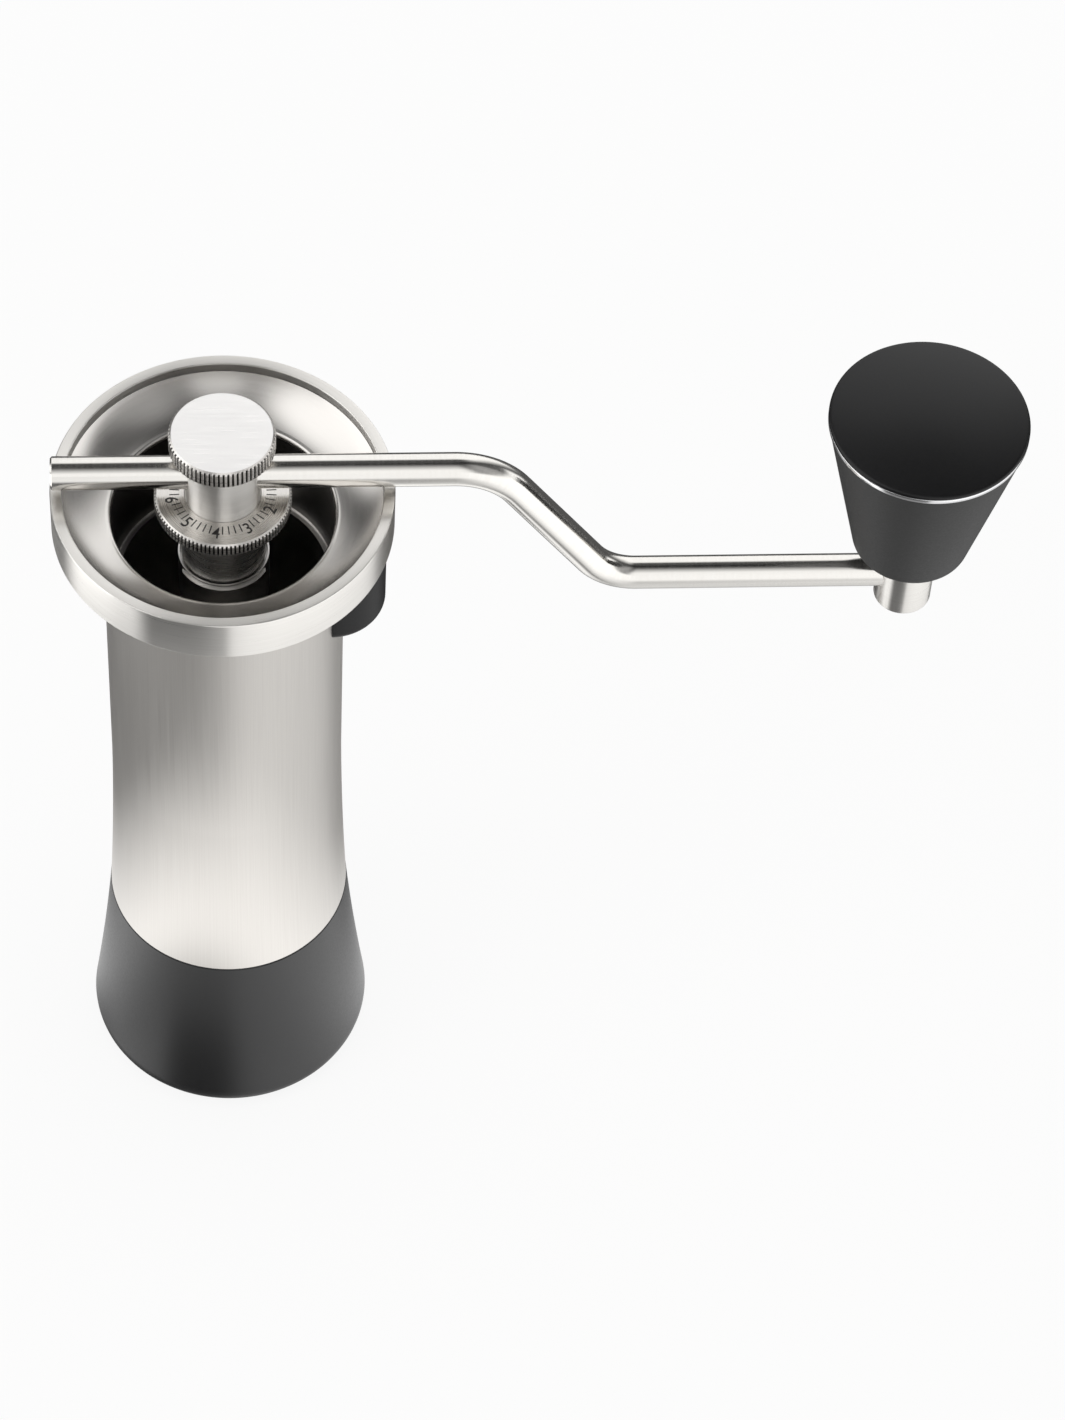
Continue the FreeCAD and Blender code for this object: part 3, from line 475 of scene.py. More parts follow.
# The funnel is spun and polished: a soft mirror with hardly a line.
DISH_STEEL = brushed_metal(
    "stainless_spun_polished", ROUND, ("#d2cfcb", "#dad7d3"), rough=(0.24, 0.27),
    anisotropy=0.35, quarter_turn=True, relief=0.01)
# The funnel's skirt stays as rolled: dull and dark.
BORE_STEEL = brushed_metal(
    "stainless_dull", ROUND, ("#4a4744", "#5b5854"), rough=(0.3, 0.38),
    anisotropy=0.5, quarter_turn=True, relief=0.02)
# The arm is drawn and polished: clear bright and dark stripes along it.
ROD_STEEL = brushed_metal(
    "stainless_drawn_polished", DRAWN, ("#d8d5d0", "#e8e6e2"), rough=(0.15, 0.21),
    anisotropy=0.6, quarter_turn=True, relief=0.02)
# The trim is aluminium, turned bright: a thin shining line.
TRIM_BRIGHT = brushed_metal(
    "aluminium_turned_bright", ROUND, ("#dededf", "#f2f2f3"), rough=(0.12, 0.2),
    anisotropy=0.4, quarter_turn=True, relief=0.03)
# The clamp knob's top is rubbed straight on a flat belt: an even pale sheen with faint straight lines.
TOP_STEEL = worked_metal(
    "stainless_brushed_straight", ("#efedeb", "#fbfaf9"), rough=(0.26, 0.38), mark_mm=0.35,
    stretch=(0.04, 1, 1))
# The cup has the grain of its tool: black with a broad soft sheen.
CUP_BLACK = moulded_abs(
    "abs_black_grained", ("#111112", "#19191a"), rough=(0.33, 0.4), relief=0.1, gloss=0.43)
# The thumb rest comes from a smoother tool and shines little: an even black.
REST_BLACK = moulded_abs(
    "abs_black_smooth", ("#161616", "#1c1c1d"), rough=(0.4, 0.46), relief=0.06, gloss=0.16)
# The grip is matt: dark grey with hardly a highlight.
GRIP_BLACK = moulded_abs("abs_black_matt", ("#232323", "#2e2e2e"), rough=(0.5, 0.6), relief=0.18)
# The cap has a soft-touch skin: deep black that lightens gently to the back.
CAP_BLACK = moulded_abs(
    "abs_black_soft_touch", ("#0e0e0f", "#151516"), rough=(0.32, 0.38), relief=0.12, gloss=0.27)
# The dial's marks are cut and filled with enamel: flat black.
INK = moulded_abs("enamel_black_filled", ("#171616", "#242222"), rough=(0.4, 0.55), relief=0.1)
# The bridge is polished: smooth, with wide soft reflections.
BRIDGE_STEEL = worked_metal("stainless_polished", ("#c9c7c4", "#dddbd8"), rough=(0.28, 0.38), mark_mm=3.0)
# Turned and milled inside parts: grey with fine level tool marks.
MACHINED = worked_metal(
    "steel_machined", ("#a9a8a8", "#c4c3c3"), rough=(0.25, 0.38), mark_mm=0.8, stretch=(0.1, 0.1, 1.0))
# The burrs are hardened and ground: darker grey, satin.
BURR = worked_metal("steel_hardened_ground", ("#6f6f72", "#8f8f92"), rough=(0.28, 0.42), mark_mm=0.6)
# Races and balls are ground and polished: a clear mirror.
BEARING = worked_metal("steel_ground_polished", ("#bcbcbe", "#d6d6d8"), rough=(0.1, 0.2), mark_mm=0.8)
# The spring and the circlips are oiled: dark brownish grey.
SPRING = worked_metal("steel_spring_oiled", ("#4f4c48", "#6d6a66"), rough=(0.25, 0.4), mark_mm=0.7)
# Screws are blacked in a salt bath: near black with a dull shine.
OXIDE = worked_metal("steel_black_oxide", ("#1c1b1b", "#2c2b2a"), rough=(0.35, 0.5), mark_mm=0.5)
# Bushes, cages and the clamp pad are turned brass: warm yellow with fine level tool marks.
BRASS = worked_metal(
    "brass_turned", ("#b08d4c", "#cfae6c"), rough=(0.2, 0.32), mark_mm=0.7, stretch=(0.15, 0.15, 1.0))
# The magnets are nickel plated: a bright, slightly warm mirror.
NICKEL = worked_metal("nickel_plated", ("#b5b2aa", "#d3d0c8"), rough=(0.12, 0.22), mark_mm=1.2)


# Pieces

def fit(obj, material, body, slot, *nodes):
    """Finishes a piece: its material, the body it rides on and the solids it stands for. slot, its record
    slot, is not used."""
    obj.data.materials.append(material)
    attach(obj, body)
    if nodes:
        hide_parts(*nodes)


def face_values(obj, name):
    """Normals or centres of all faces."""
    flat = np.empty(len(obj.data.polygons) * 3)
    obj.data.polygons.foreach_get(name, flat)
    return flat.reshape(-1, 3)


def second_material(obj, material, wanted):
    """Gives the wanted faces another material."""
    obj.data.materials.append(material)
    obj.data.polygons.foreach_set("material_index", wanted.astype(np.int32))


def grounds_cup():
    """Flared black cup with a rounded foot, a round-bottomed bore and a wider mouth for the tube's
    spigot."""
    cup = span("catch_cup")
    foot_z = cup.low + CUP_FOOT_ROUND
    flat_r = cup.r - CUP_FOOT_ROUND
    step_z = cup.high - MOUTH_DEPTH
    floor_z = cup.low + CUP_FLOOR
    round_r = CUP_BORE_R - CUP_FLOOR_ROUND
    waist_z = (foot_z + cup.high) / 2
    profile = outline(
        (0, cup.low), (flat_r / 2, cup.low), bend((flat_r, foot_z), CUP_FOOT_ROUND, -math.pi / 2, 0),
        arc((cup.r, foot_z), (CUP_WAIST_R, waist_z), (CUP_TOP_R, cup.high - JOINT_BEVEL), count=40)[1:],
        (CUP_TOP_R - JOINT_BEVEL, cup.high), (MOUTH_R, cup.high, JOINT_BEVEL), (MOUTH_R, step_z),
        (CUP_BORE_R, step_z, JOINT_BEVEL),
        bend((round_r, floor_z + CUP_FLOOR_ROUND), CUP_FLOOR_ROUND, 0, -math.pi / 2),
        (round_r / 2, floor_z), (0, floor_z))
    obj = turned("grounds_cup", profile)
    fit(obj, CUP_BLACK, "cup", "black_plastic", "catch_cup")


def brushed_tube():
    """Slim tube with a flared foot and a spigot for the cup. Its bore steps out to the burr, the bearing
    bridges and the funnel."""
    tube, cup, burr = span("body_tube"), span("catch_cup"), span("outer_burr")
    lower, upper = span("lower_bearing_bridge"), span("upper_bearing_bridge")
    flare = arc((tube.r, cup.high + JOINT_BEVEL), *TUBE_FLARE, count=40)
    profile = outline(
        (burr.r, tube.low), (SPIGOT_R, tube.low, JOINT_BEVEL), (SPIGOT_R, cup.high),
        (tube.r - JOINT_BEVEL, cup.high), flare, (TUBE_R, tube.high), (upper.r, tube.high),
        (upper.r, upper.low), (lower.r, upper.low), (lower.r, lower.low), (BURR_LAND_R, lower.low),
        (BURR_LAND_R, burr.high), (burr.r, burr.high))
    obj = turned("brushed_tube", profile, closed=True)
    fit(obj, TUBE_STEEL, "housing", "brushed_steel", "body_tube")


def hopper_collar():
    """Wide ring round the tube's top: a web, a wall and a lip with a ledge for the funnel."""
    ring = span("hopper_ring")
    web_z = ring.low + RING_WEB
    profile = outline(
        (TUBE_R, ring.low), (ring.r, ring.low, RING_EDGE), (ring.r, ring.high, RING_EDGE),
        (RING_LIP_R, ring.high, RING_EDGE), (RING_LIP_R, RING_LEDGE_Z), (RING_WALL_R, RING_LEDGE_Z),
        (RING_WALL_R, web_z), (TUBE_R, web_z))
    obj = turned("hopper_collar", profile, closed=True)
    fit(obj, TURNED_STEEL, "housing", "brushed_steel", "hopper_ring")


def funnel_dish():
    """Spun sheet: a hollow dish that rolls over into a straight skirt, which is dull but for its cut lower
    rim. The underside is the same curve, moved out by the sheet's thickness."""
    dish = span("funnel")
    roll_r = DISH_FOOT[0] - SKIRT_R
    roll = bend((DISH_FOOT[0], DISH_FOOT[1] - roll_r), roll_r, math.pi / 2, math.pi)
    top = arc((dish.r, dish.high), DISH_MIDDLE, DISH_FOOT, count=28)
    under = arc((dish.r - SHEET, dish.high - SHEET), (DISH_MIDDLE[0] + SHEET / 2, DISH_MIDDLE[1] - SHEET),
                (DISH_FOOT[0] + SHEET / 2, DISH_FOOT[1] - SHEET))[::-1]
    profile = outline(
        (dish.r, dish.high - SHEET), top, roll[1:], (SKIRT_R, dish.low + SKIRT_RIM), (SKIRT_R, dish.low),
        (SKIRT_R + SHEET, dish.low), (SKIRT_R + SHEET, roll[-1, 1] - SHEET), under)
    obj = turned("funnel_dish", profile, closed=True)
    fit(obj, DISH_STEEL, "housing", "polished_steel", "funnel")
    x, y, z = face_values(obj, "center").T / MM
    second_material(obj, BORE_STEEL, (np.hypot(x, y) < SKIRT_R) & (z > dish.low + SKIRT_RIM))


def drill_for_arm(obj, reach):
    """Cuts the arm's hole through a piece along X. The grain then follows the places of the points,
    because the hole's new points have none."""
    height = ARM_CORNERS[0][1]
    drill = rod("drill", np.array([(-reach, height), (reach, height)]), ARM_ROD_R + ARM_FIT, ARM_BEVEL)
    cut = obj.modifiers.new("hole", "BOOLEAN")
    cut.object = drill
    cut.solver = "EXACT"
    mesh = bpy.data.meshes.new_from_object(obj.evaluated_get(bpy.context.evaluated_depsgraph_get()))
    places = np.empty(len(mesh.vertices) * 3)
    mesh.vertices.foreach_get("co", places)
    mesh.attributes["brush"].data.foreach_set("vector", places / MM)
    mesh.set_sharp_from_angle(angle=SHARP_EDGE)
    obj.modifiers.clear()
    obj.data = mesh
    bpy.data.objects.remove(drill)


def crank_neck():
    """Smooth neck with a cross hole for the arm, on a thinner boss inside the dial."""
    neck = span("crank_head")
    profile = outline(
        (0, neck.low), (BOSS_R, neck.low), (BOSS_R, NECK_LOW), (neck.r, NECK_LOW, NECK_EDGE),
        (neck.r, neck.high, NECK_EDGE), (STEM_R, neck.high), (0, neck.high))
    obj = turned("crank_neck", profile)
    drill_for_arm(obj, 2 * neck.r)
    fit(obj, NECK_STEEL, "shaft", "brushed_steel", "crank_head")


def clamp_knob():
    """Knurled disc on a stem. Its top is brushed straight, as on a flat belt."""
    knob = span("clamp_knob")
    profile = outline(
        (0, knob.low), (STEM_R, knob.low), (STEM_R, CLAMP_LOW), *knurled_edge(knob.r, CLAMP_LOW, knob.high),
        (STEM_R, knob.high), (0, knob.high))
    star = knurl(knob.r, CLAMP_TEETH)
    obj = turned("clamp_knob_knurled", profile, around=len(star), star=star)
    fit(obj, KNURLED_STEEL, "clamp_knob", "brushed_steel", "clamp_knob")
    second_material(obj, TOP_STEEL, face_values(obj, "normal")[:, 2] > UPWARD)


def grind_dial():
    """Knurled disc with a recess for the neck, on a barrel and a nose with a stepped bore."""
    dial = span("adjusting_dial")
    profile = outline(
        (DIAL_BORE_R, dial.low), (NOSE_R, dial.low), (NOSE_R, BARREL_LOW), (BARREL_R, BARREL_LOW, NECK_EDGE),
        (BARREL_R, DIAL_LOW), *knurled_edge(dial.r, DIAL_LOW, dial.high), (DIAL_RECESS[0], dial.high),
        DIAL_RECESS, (DIAL_CAVITY[0], DIAL_RECESS[1]), DIAL_CAVITY, (DIAL_BORE_R, DIAL_CAVITY[1]))
    star = knurl(dial.r, DIAL_TEETH)
    obj = turned("dial_knurled", profile, around=len(star), closed=True, star=star)
    fit(obj, KNURLED_STEEL, "dial", "brushed_steel", "adjusting_dial")


def tick_boxes(low, high):
    """Boxes of the ticks between the numbers: corner (a, b, z) is at radius a and b along the circle."""
    count = np.arange(NUMBER_COUNT * TICKS_PER_NUMBER)
    turn = FIRST_NUMBER - CIRCLE / len(count) * count[count % TICKS_PER_NUMBER > 0]
    out = np.stack([np.cos(turn), np.sin(turn)], -1)[:, None]
    side = np.stack([-np.sin(turn), np.cos(turn)], -1)[:, None]
    near, far = TICK_REACH
    reach = np.array([near, far, far, near])[None, :, None]
    half = np.array([-1, -1, 1, 1])[None, :, None] * TICK_WIDTH / 2
    flat = out * reach + side * half
    levels = [np.concatenate([flat, np.full_like(flat[..., :1], z)], -1) for z in (low, high)]
    boxes = np.concatenate(levels, 1)
    sides = np.array([[0, 3, 2, 1], [4, 5, 6, 7], [0, 1, 5, 4], [1, 2, 6, 5], [2, 3, 7, 6], [3, 0, 4, 7]])
    faces = np.arange(len(boxes))[:, None, None] * boxes.shape[1] + sides
    return boxes.reshape(-1, 3), faces.reshape(-1, 4).tolist()


def number_shape(number, low, high):
    """One number as a thin plate: the letter's point (a, b) is at the number's angle at a radius of
    NUMBER_R less b, moved a along the circle, so that numbers rise clockwise and read from outside."""
    letter = bpy.data.curves.new("number", "FONT")
    letter.body = str(number)
    letter.align_x = "CENTER"
    letter.extrude = LETTER_DEPTH
    letter.offset = LETTER_WEIGHT
    holder = bpy.data.objects.new("number", letter)
    shape = bpy.data.meshes.new_from_object(holder)
    flat = np.empty(len(shape.vertices) * 3)
    shape.vertices.foreach_get("co", flat)
    a, b, c = flat.reshape(-1, 3).T
    scale = NUMBER_HEIGHT / np.ptp(b)
    angle = FIRST_NUMBER - CIRCLE / NUMBER_COUNT * number
    reach = NUMBER_R - (b - (b.min() + b.max()) / 2) * scale
    offset = a * scale * NUMBER_NARROWING
    x = reach * math.cos(angle) - offset * math.sin(angle)
    y = reach * math.sin(angle) + offset * math.cos(angle)
    faces = [list(face.vertices) for face in shape.polygons]
    bpy.data.objects.remove(holder)
    bpy.data.meshes.remove(shape)
    return np.stack([x, y, np.where(c > 0, high, low)], -1), faces


def dial_marks():
    """Ticks and numbers cut in the dial and filled black."""
    face_z = span("adjusting_dial").high
    low, high = face_z - MARK_PROUD, face_z + MARK_PROUD
    shapes = [tick_boxes(low, high)] + [number_shape(number, low, high) for number in range(NUMBER_COUNT)]
    starts = np.append(0, np.cumsum([len(points) for points, _ in shapes]))
    faces = [[start + corner for corner in face]
             for start, (_, plate) in zip(starts.tolist(), shapes) for face in plate]
    mesh = bpy.data.meshes.new("dial_marks")
    mesh.from_pydata(np.vstack([points for points, _ in shapes]) * MM, [], faces)
    work = bmesh.new()
    work.from_mesh(mesh)
    bmesh.ops.remove_doubles(work, verts=work.verts, dist=MARK_WELD * MM)
    bmesh.ops.recalc_face_normals(work, faces=work.faces)
    work.to_mesh(mesh)
    work.free()
    obj = bpy.data.objects.new("dial_marks", mesh)
    bpy.context.scene.collection.objects.link(obj)
    fit(obj, INK, "dial", "black_screws")


def crank_rod():
    """Cranked steel rod from the neck down to the handle's post."""
    path = bent_path(ARM_CORNERS, ARM_BENDS)
    obj = rod("crank_rod", path, ARM_ROD_R, ARM_BEVEL)
    fit(obj, ROD_STEEL, "arm", "rod_steel", "crank_arm")


def rod_post():
    """Short upright cylinder at the rod's outer end."""
    post = span("handle_post")
    profile = outline((0, post.low), (post.r / 2, post.low), (post.r, post.low, POST_BEVEL),
                      (post.r, post.high, POST_BEVEL), (post.r / 2, post.high), (0, post.high))
    obj = turned("rod_post", profile, around=128, x=post.x)
    fit(obj, TURNED_STEEL, "arm", "rod_steel", "handle_post")


def grip_cone():
    """Black cone, wide at the top, with a bore for the bushes and a pocket for the cap."""
    grip = span("knob_grip")
    flange_r, flange_depth = BUSH_FLANGE
    profile = outline(
        (GRIP_BORE_R, grip.low + flange_depth), (flange_r, grip.low + flange_depth), (flange_r, grip.low),
        (GRIP_LOW_R, grip.low, GRIP_ROUND), (grip.r, grip.high, JOINT_BEVEL / 2),
        (GRIP_POCKET[0], grip.high), GRIP_POCKET, (GRIP_BORE_R, GRIP_POCKET[1]))
    obj = turned("grip_cone", profile, x=grip.x, closed=True)
    fit(obj, GRIP_BLACK, "knob", "black_plastic", "knob_grip")


def trim_band():
    """Thin bright ring between the grip and its cap."""
    band = span("knob_trim_ring")
    inner_r = GRIP_POCKET[0]
    profile = outline((inner_r, band.low), (band.r, band.low, BAND_BEVEL), (band.r, band.high, BAND_BEVEL),
                      (inner_r, band.high))
    obj = turned("trim_band", profile, x=band.x, closed=True)
    fit(obj, TRIM_BRIGHT, "knob", "trim_aluminium", "knob_trim_ring")


def cap_dome():
    """Low black dome with a soft edge that is as wide as the trim under it, on a hollow plug."""
    cap, band = span("knob_cap"), span("knob_trim_ring")
    plug_r, plug_z = CAP_PLUG
    edge_z = cap.high - CAP_CROWN
    hollow_r = plug_r - CAP_WALL
    hollow_z = band.high + CAP_WALL
    dome_r = (band.r ** 2 + CAP_CROWN ** 2) / (2 * CAP_CROWN)
    halfway_z = cap.high - dome_r + math.sqrt(dome_r ** 2 - band.r ** 2 / 4)
    dome = arc((band.r, edge_z), (band.r / 2, halfway_z), (0, cap.high))
    profile = outline(
        (0, hollow_z), (hollow_r, hollow_z), (hollow_r, plug_z), (plug_r, plug_z), (plug_r, band.high),
        (band.r, band.high, BAND_BEVEL), (band.r, edge_z, CAP_EDGE), dome[1:])
    obj = turned("cap_dome", profile, x=cap.x)
    fit(obj, CAP_BLACK, "knob", "black_plastic", "knob_cap")


def coil_spring():
    """Round wire wound as a helix: (turn, side) is on the coil's middle line, moved out by the wire's
    radius along cos side N + sin side B, where N points away from the axis and B is square to N and the
    wire."""
    spring = span("preload_spring")
    coil_r = spring.r - SPRING_WIRE_R
    turn = np.linspace(0, SPRING_TURNS * CIRCLE, SPRING_TURNS * SPRING_STEPS + 1)
    rise = spring.high - spring.low - 2 * SPRING_WIRE_R
    z = spring.low + SPRING_WIRE_R + rise * turn / turn[-1]
    middle = np.stack([coil_r * np.cos(turn), coil_r * np.sin(turn), z], -1)
    outward = np.stack([np.cos(turn), np.sin(turn), np.zeros_like(turn)], -1)
    ahead = np.gradient(middle, axis=0)
    across = np.cross(ahead / np.linalg.norm(ahead, axis=1)[:, None], outward)
    ends = [0, *range(len(turn)), len(turn) - 1]
    wire = np.full(len(ends), SPRING_WIRE_R)
    wire[[0, -1]] = 0
    side = np.arange(WIRE_SIDES)[:, None] / WIRE_SIDES * CIRCLE
    ring = np.cos(side) * outward[ends, None] + np.sin(side) * across[ends, None]
    grid = middle[ends, None] + wire[:, None, None] * ring
    lengths = np.append(0, coil_r * turn[ends])
    obj = skin("coil_spring", grid, lengths, grid, np.zeros(grid.shape[:2]))
    obj.data.materials.append(SPRING)
    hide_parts("preload_spring")
    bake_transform(obj)


CARRIED = {
    BRIDGE_STEEL: ["upper_bearing_bridge"],
    REST_BLACK: ["thumb_rest"],
    MACHINED: ["lower_bearing_bridge", "burr_lock_ring", "drive_shaft", "crank_head_pin", "handle_spindle",
               "burr_washer", "spring_seat_washer", "spring_thrust_washer", "knob_retaining_washer"],
    BURR: ["outer_burr", "inner_burr"],
    BEARING: ["upper_bearing_outer_race", "upper_bearing_inner_race", "upper_bearing_balls",
              "lower_bearing_outer_race", "lower_bearing_inner_race", "lower_bearing_balls"],
    SPRING: ["upper_circlip", "lower_circlip"],
    OXIDE: ["thumb_rest_screws", "burr_bolt", "knob_retaining_screw"],
    BRASS: ["clamp_pad", "upper_bearing_cage", "lower_bearing_cage", "knob_bush_lower", "knob_bush_upper"],
    NICKEL: ["cup_magnets"],
}


def dress_carried_solids():
    """Gives each solid that the scene shows as it is a material of its own kind."""
    for material, names in CARRIED.items():
        for name in names:
            for place in frame["nodes"][name].material_slots:
                place.link = "OBJECT"
                place.material = material


# Studio

# Brightness of the room that metal mirrors, by compass angle in degrees: 0 in front, positive to the right.
HIGH_LEVELS = ((-180, 0.74), (-160, 0.7), (-150, 0.3), (-142, 0.06), (-130, 0.06), (-120, 0.7), (-106, 0.9),
               (-55, 0.95), (-30, 0.36), (-20, 0.36), (-12, 0.75), (18, 0.75), (26, 0.25), (34, 0.2),
               (55, 0.28), (78, 0.22), (90, 0.07), (122, 0.05), (132, 0.3), (142, 0.55), (150, 0.8),
               (180, 0.74))
WALL_LEVELS = ((-180, 0.74), (-168, 0.5), (-160, 0.42), (-153, 0.3), (-146, 0.14), (-139, 0.05),
               (-130, 0.05), (-121, 0.8), (-110, 1.0), (-66, 1.0), (-60, 0.06), (-12, 0.06), (-3, 0.75),
               (60, 0.9), (108, 0.9), (120, 0.06), (129, 0.15), (136, 0.4), (145, 0.75), (157, 0.8),
               (180, 0.74))
TABLE_LEVELS = ((-180, 0.55), (-165, 1.0), (-54, 1.0), (-48, 0.05), (0, 0.05), (4.5, 0.5), (14, 0.68),
                (30, 0.85), (60, 0.85), (120, 0.6), (180, 0.55))
GROUND_LEVELS = ((-180, 0.3), (-150, 0.42), (-125, 0.16), (-110, 0.08), (-70, 0.08), (-45, 0.16), (0, 0.2),
                 (4.5, 0.56), (40, 0.48), (90, 0.42), (130, 0.44), (180, 0.3))
# Heights between which one layer goes over into the next, as the sine of the elevation.
HIGH_EDGE = (0.4, 0.48)
TABLE_EDGE = (-0.4, -0.1)
GROUND_EDGE = (-0.8, -0.73)
# Angles in degrees that run from the front horizon, 0, over the object to the back horizon, 180.
BACK_GROUND = (-118, -102)
BAR_FRONT = (45, 85)
BAR_BACK = (116, 126)
# Sideways share of the direction over which the bar overhead runs out.
BAR_SIDES = (0.2, 0.4)
# Brightness of the dark parts, and the strengths of the boxes and the dome.
DARK = 0.06
BOX_STRENGTH = 1.7
DOME_STRENGTH = 0.5

# Places of the floor and the card are in metres, as are the camera's and the lamps'. Over the distances of
# FLOOR_FADE the floor's share of pure white goes from the first to the second of FLOOR_WHITE. The card's
# glow rises over CARD_NEAR and falls over CARD_FAR.
FLOOR_HALF = 1.5
FLOOR_LEVEL = -0.0002
FLOOR_FADE = (0.25, 1.0)
FLOOR_WHITE = (0.9, 1.0)
FLOOR_TONE = "#f4f4f3"
CARD_HALF = 0.2
CARD_LEVEL = -0.0001
CARD_MIDDLE = (-0.008, -0.03, 0.0)
CARD_NEAR = (0.03, 0.05)
CARD_FAR = (0.058, 0.1)
CARD_STRENGTH = 1.35

# Camera fitted to the photograph: its lens in millimetres, its place and its own axes.
LENS = 127.93
SENSOR = 36.0
SIGHT = (0.01, 20.0)
CAMERA_PLACE = (0.001848, -0.688324, 1.080176)
CAMERA_RIGHT = (0.99816481, -0.04550506, 0.03995382)
CAMERA_UP = (0.01366558, 0.81203304, 0.58345146)
CAMERA_BACK = (-0.05899381, -0.58183472, 0.81116465)


def grey(level):
    """Colour of one level."""
    return (level, level, level, 1.0)


def compass_ramp(tree, share, stops):
    """Brightness that goes with the share of the compass, from behind over the left, the front and the
    right to behind again."""
    ramp = add(tree, "ValToRGB", {"Fac": share})
    elements = ramp.color_ramp.elements
    elements.remove(elements[1])
    elements[0].color = grey(stops[0][1])
    first, last = stops[0][0], stops[-1][0]
    for degrees, level in stops[1:]:
        elements.new((degrees - first) / (last - first)).color = grey(level)
    return ramp.outputs["Color"]


def layered(tree, value, edge, below, above):
    """One layer of the room below an edge and another above it, with a soft change between."""
    share = add(tree, "MapRange", (value, *edge)).outputs[0]
    layers = {MIX_SHARE: share, MIX_FIRST: below, MIX_SECOND: above}
    return add(tree, "Mix", layers, data_type="RGBA").outputs[MIX_RESULT]


def studio_world():
    """White to the camera, an even dome for diffuse light, and for reflections a room of soft boxes with
    dark gaps. Its brightness goes with the compass angle in four layers: high up, the walls, the table and
    the ground. The ground behind is dark, and so is a bar overhead."""
    world = bpy.data.worlds.new("studio")
    world.use_nodes = True
    tree = world.node_tree
    tree.nodes.clear()
    x, y, height = add(tree, "SeparateXYZ", [add(tree, "TexCoord").outputs["Generated"]]).outputs
    front = add(tree, "Math", (y, -1.0), operation="MULTIPLY").outputs[0]
    compass = add(tree, "Math", (x, front), operation="ARCTAN2").outputs[0]
    share = add(tree, "MapRange", (compass, -math.pi, math.pi)).outputs[0]
    high, walls, table, ground = (compass_ramp(tree, share, levels) for levels in (
        HIGH_LEVELS, WALL_LEVELS, TABLE_LEVELS, GROUND_LEVELS))
    turn = add(tree, "Math", (height, front), operation="ARCTAN2").outputs[0]
    over = add(tree, "Math", [turn], operation="DEGREES").outputs[0]
    room = layered(tree, height, HIGH_EDGE, walls, high)
    room = layered(tree, height, TABLE_EDGE, table, room)
    room = layered(tree, height, GROUND_EDGE, ground, room)
    room = layered(tree, over, BACK_GROUND, grey(DARK), room)
    bar_front = add(tree, "MapRange", (over, *BAR_FRONT, 1.0, DARK)).outputs[0]
    bar_back = add(tree, "MapRange", (over, *BAR_BACK, DARK, 1.0)).outputs[0]
    aside = add(tree, "Math", [x], operation="ABSOLUTE").outputs[0]
    bar_sides = add(tree, "MapRange", (aside, *BAR_SIDES)).outputs[0]
    bar = add(tree, "Math", (bar_front, bar_back), operation="MAXIMUM").outputs[0]
    bar = add(tree, "Math", (bar, bar_sides), operation="MAXIMUM").outputs[0]
    glow = add(tree, "Math", (bar, BOX_STRENGTH), operation="MULTIPLY").outputs[0]

    path = add(tree, "LightPath").outputs
    rays = path["Is Camera Ray"], path["Is Transmission Ray"]
    seen = add(tree, "Math", rays, operation="MAXIMUM").outputs[0]
    dome = add(tree, "Background", {"Color": grey(1.0), "Strength": DOME_STRENGTH}).outputs[0]
    boxes = add(tree, "Background", {"Color": room, "Strength": glow}).outputs[0]
    white = add(tree, "Background", {"Color": grey(1.0), "Strength": 1.0}).outputs[0]
    lit = add(tree, "MixShader", (path["Is Glossy Ray"], dome, boxes)).outputs[0]
    shown = add(tree, "MixShader", (seen, lit, white)).outputs[0]
    add(tree, "OutputWorld", {"Surface": shown})
    bpy.context.scene.world = world


def flat_square(name, half, level, material):
    """Level square of the studio, which is no part of the object."""
    corners = [(-half, -half, level), (half, -half, level), (half, half, level), (-half, half, level)]
    mesh = bpy.data.meshes.new(name)
    mesh.from_pydata(corners, [], [(0, 1, 2, 3)])
    mesh.materials.append(material)
    obj = bpy.data.objects.new(name, mesh)
    bpy.context.scene.collection.objects.link(obj)
    return obj


def pale_floor():
    """Flat white floor just under the cup. It is white to the camera but for a faint shadow near the
    object, and reflections look past it."""
    material, tree = blank("floor_white")
    place = add(tree, "TexCoord").outputs["Object"]
    distance = add(tree, "VectorMath", [place], operation="LENGTH").outputs["Value"]
    fade = add(tree, "MapRange", (distance, *FLOOR_FADE, *FLOOR_WHITE)).outputs[0]
    camera_ray = add(tree, "LightPath").outputs["Is Camera Ray"]
    seen = add(tree, "Math", (camera_ray, fade), operation="MULTIPLY").outputs[0]
    paint = add(tree, "BsdfDiffuse", {"Color": linear(FLOOR_TONE)}).outputs[0]
    white = add(tree, "Emission", {"Color": grey(1.0), "Strength": 1.0}).outputs[0]
    mixed = add(tree, "MixShader", (seen, paint, white)).outputs[0]
    add(tree, "OutputMaterial", {"Surface": mixed})
    floor = flat_square("floor", FLOOR_HALF, FLOOR_LEVEL, material)
    floor.visible_glossy = False


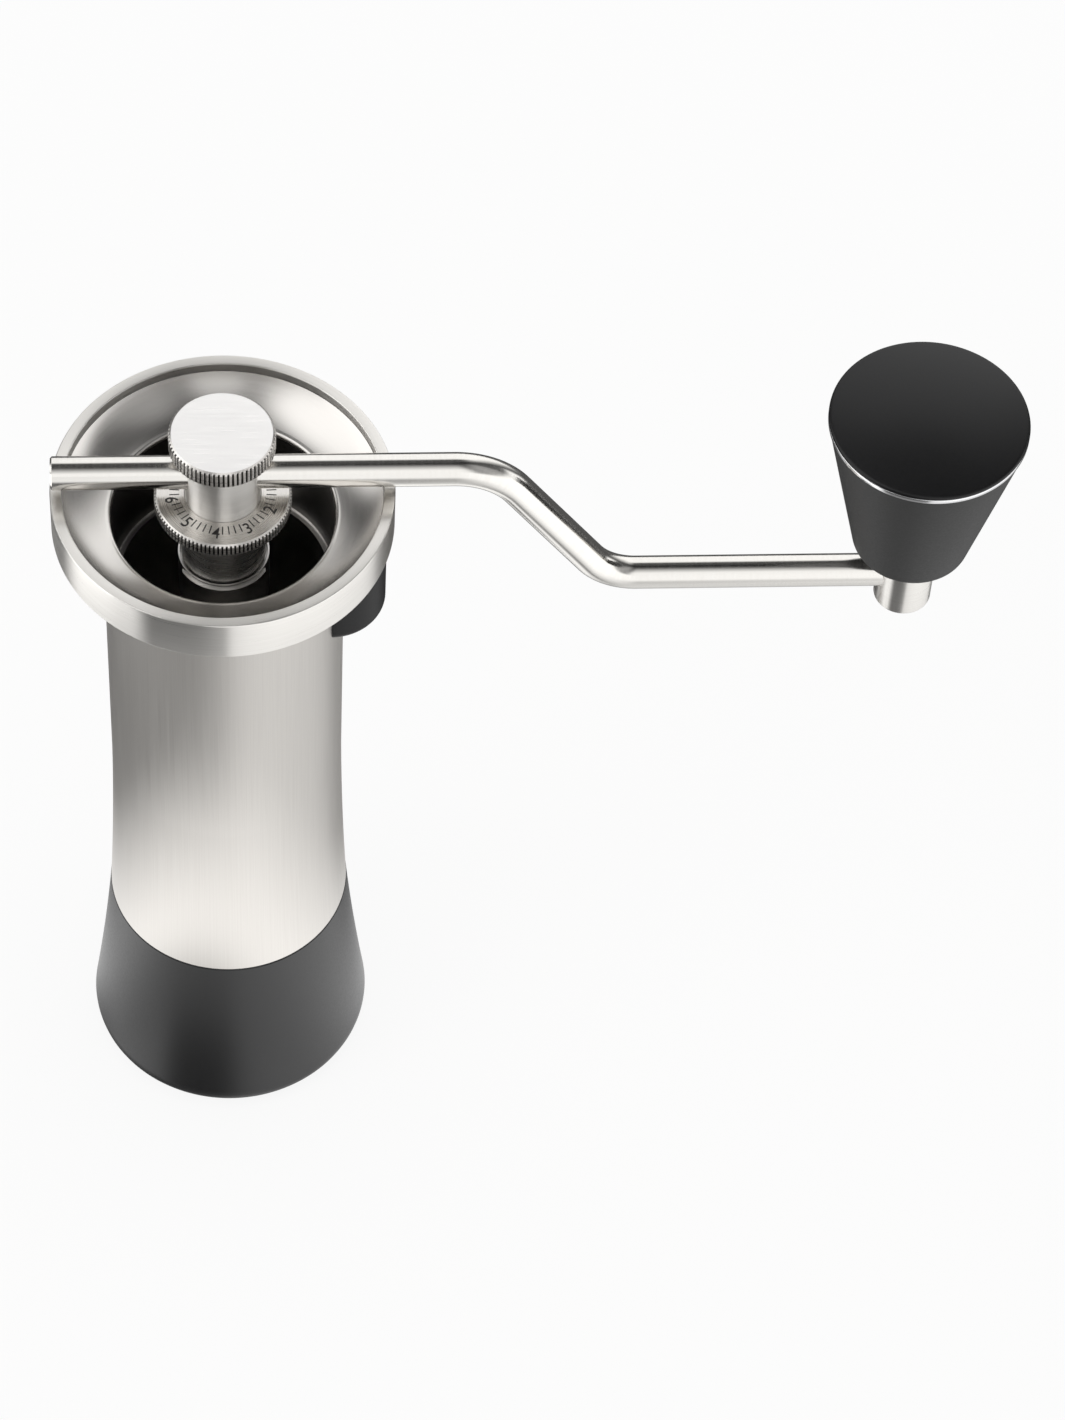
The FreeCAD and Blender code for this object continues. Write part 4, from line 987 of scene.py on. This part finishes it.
def glow_card():
    """White card round the foot that only reflections see, which lightens the tube downwards. Its glow
    rises and falls with the distance from its middle."""
    material, tree = blank("card_white")
    place = add(tree, "TexCoord").outputs["Object"]
    distance = add(tree, "VectorMath", (place, CARD_MIDDLE), operation="DISTANCE").outputs["Value"]
    near = add(tree, "MapRange", (distance, *CARD_NEAR)).outputs[0]
    far = add(tree, "MapRange", (distance, *CARD_FAR, 1.0, 0.0)).outputs[0]
    glow = add(tree, "Math", (near, far), operation="MULTIPLY").outputs[0]
    clear = add(tree, "BsdfTransparent").outputs[0]
    white = add(tree, "Emission", {"Color": grey(1.0), "Strength": CARD_STRENGTH}).outputs[0]
    mixed = add(tree, "MixShader", (glow, clear, white)).outputs[0]
    add(tree, "OutputMaterial", {"Surface": mixed})
    card = flat_square("glow_card", CARD_HALF, CARD_LEVEL, material)
    card.visible_camera = False
    card.visible_diffuse = False
    card.visible_shadow = False
    card.visible_transmission = False


def stand(obj, right, up, back, place):
    """Puts a lamp or camera at a place with its own axes."""
    obj.matrix_world = Matrix([[*row] for row in zip(right, up, back, place)] + [[0, 0, 0, 1]])
    bpy.context.scene.collection.objects.link(obj)


def soft_box(name, place, size, watts):
    """Large square lamp that faces the object's middle and shows in no reflection, where the world's boxes
    stand for it."""
    lamp = bpy.data.lights.new(name, "AREA")
    lamp.size = size
    lamp.energy = watts
    holder = bpy.data.objects.new(name, lamp)
    holder.visible_glossy = False
    back = np.array(place) - np.mean(cad_box, axis=0)
    back /= np.linalg.norm(back)
    right = np.cross((0.0, 1.0, 0.0), back)
    right /= np.linalg.norm(right)
    stand(holder, right, np.cross(back, right), back, place)


def photo_camera():
    """Camera at the photograph's angle."""
    lens = bpy.data.cameras.new("camera")
    lens.lens = LENS
    lens.sensor_width = SENSOR
    lens.clip_start, lens.clip_end = SIGHT
    holder = bpy.data.objects.new("camera", lens)
    stand(holder, CAMERA_RIGHT, CAMERA_UP, CAMERA_BACK, CAMERA_PLACE)
    bpy.context.scene.camera = holder


for make in (grounds_cup, brushed_tube, hopper_collar, funnel_dish, crank_neck, clamp_knob, grind_dial,
             dial_marks, crank_rod, rod_post, grip_cone, trim_band, cap_dome, coil_spring,
             dress_carried_solids, studio_world, pale_floor, glow_card, photo_camera):
    make()
soft_box("overhead", place=(0.1, 0.1, 1.3), size=0.9, watts=5.0)
soft_box("left", place=(-0.9, -0.5, 0.8), size=0.7, watts=3.0)
bpy.context.scene.view_settings.view_transform = "Standard"
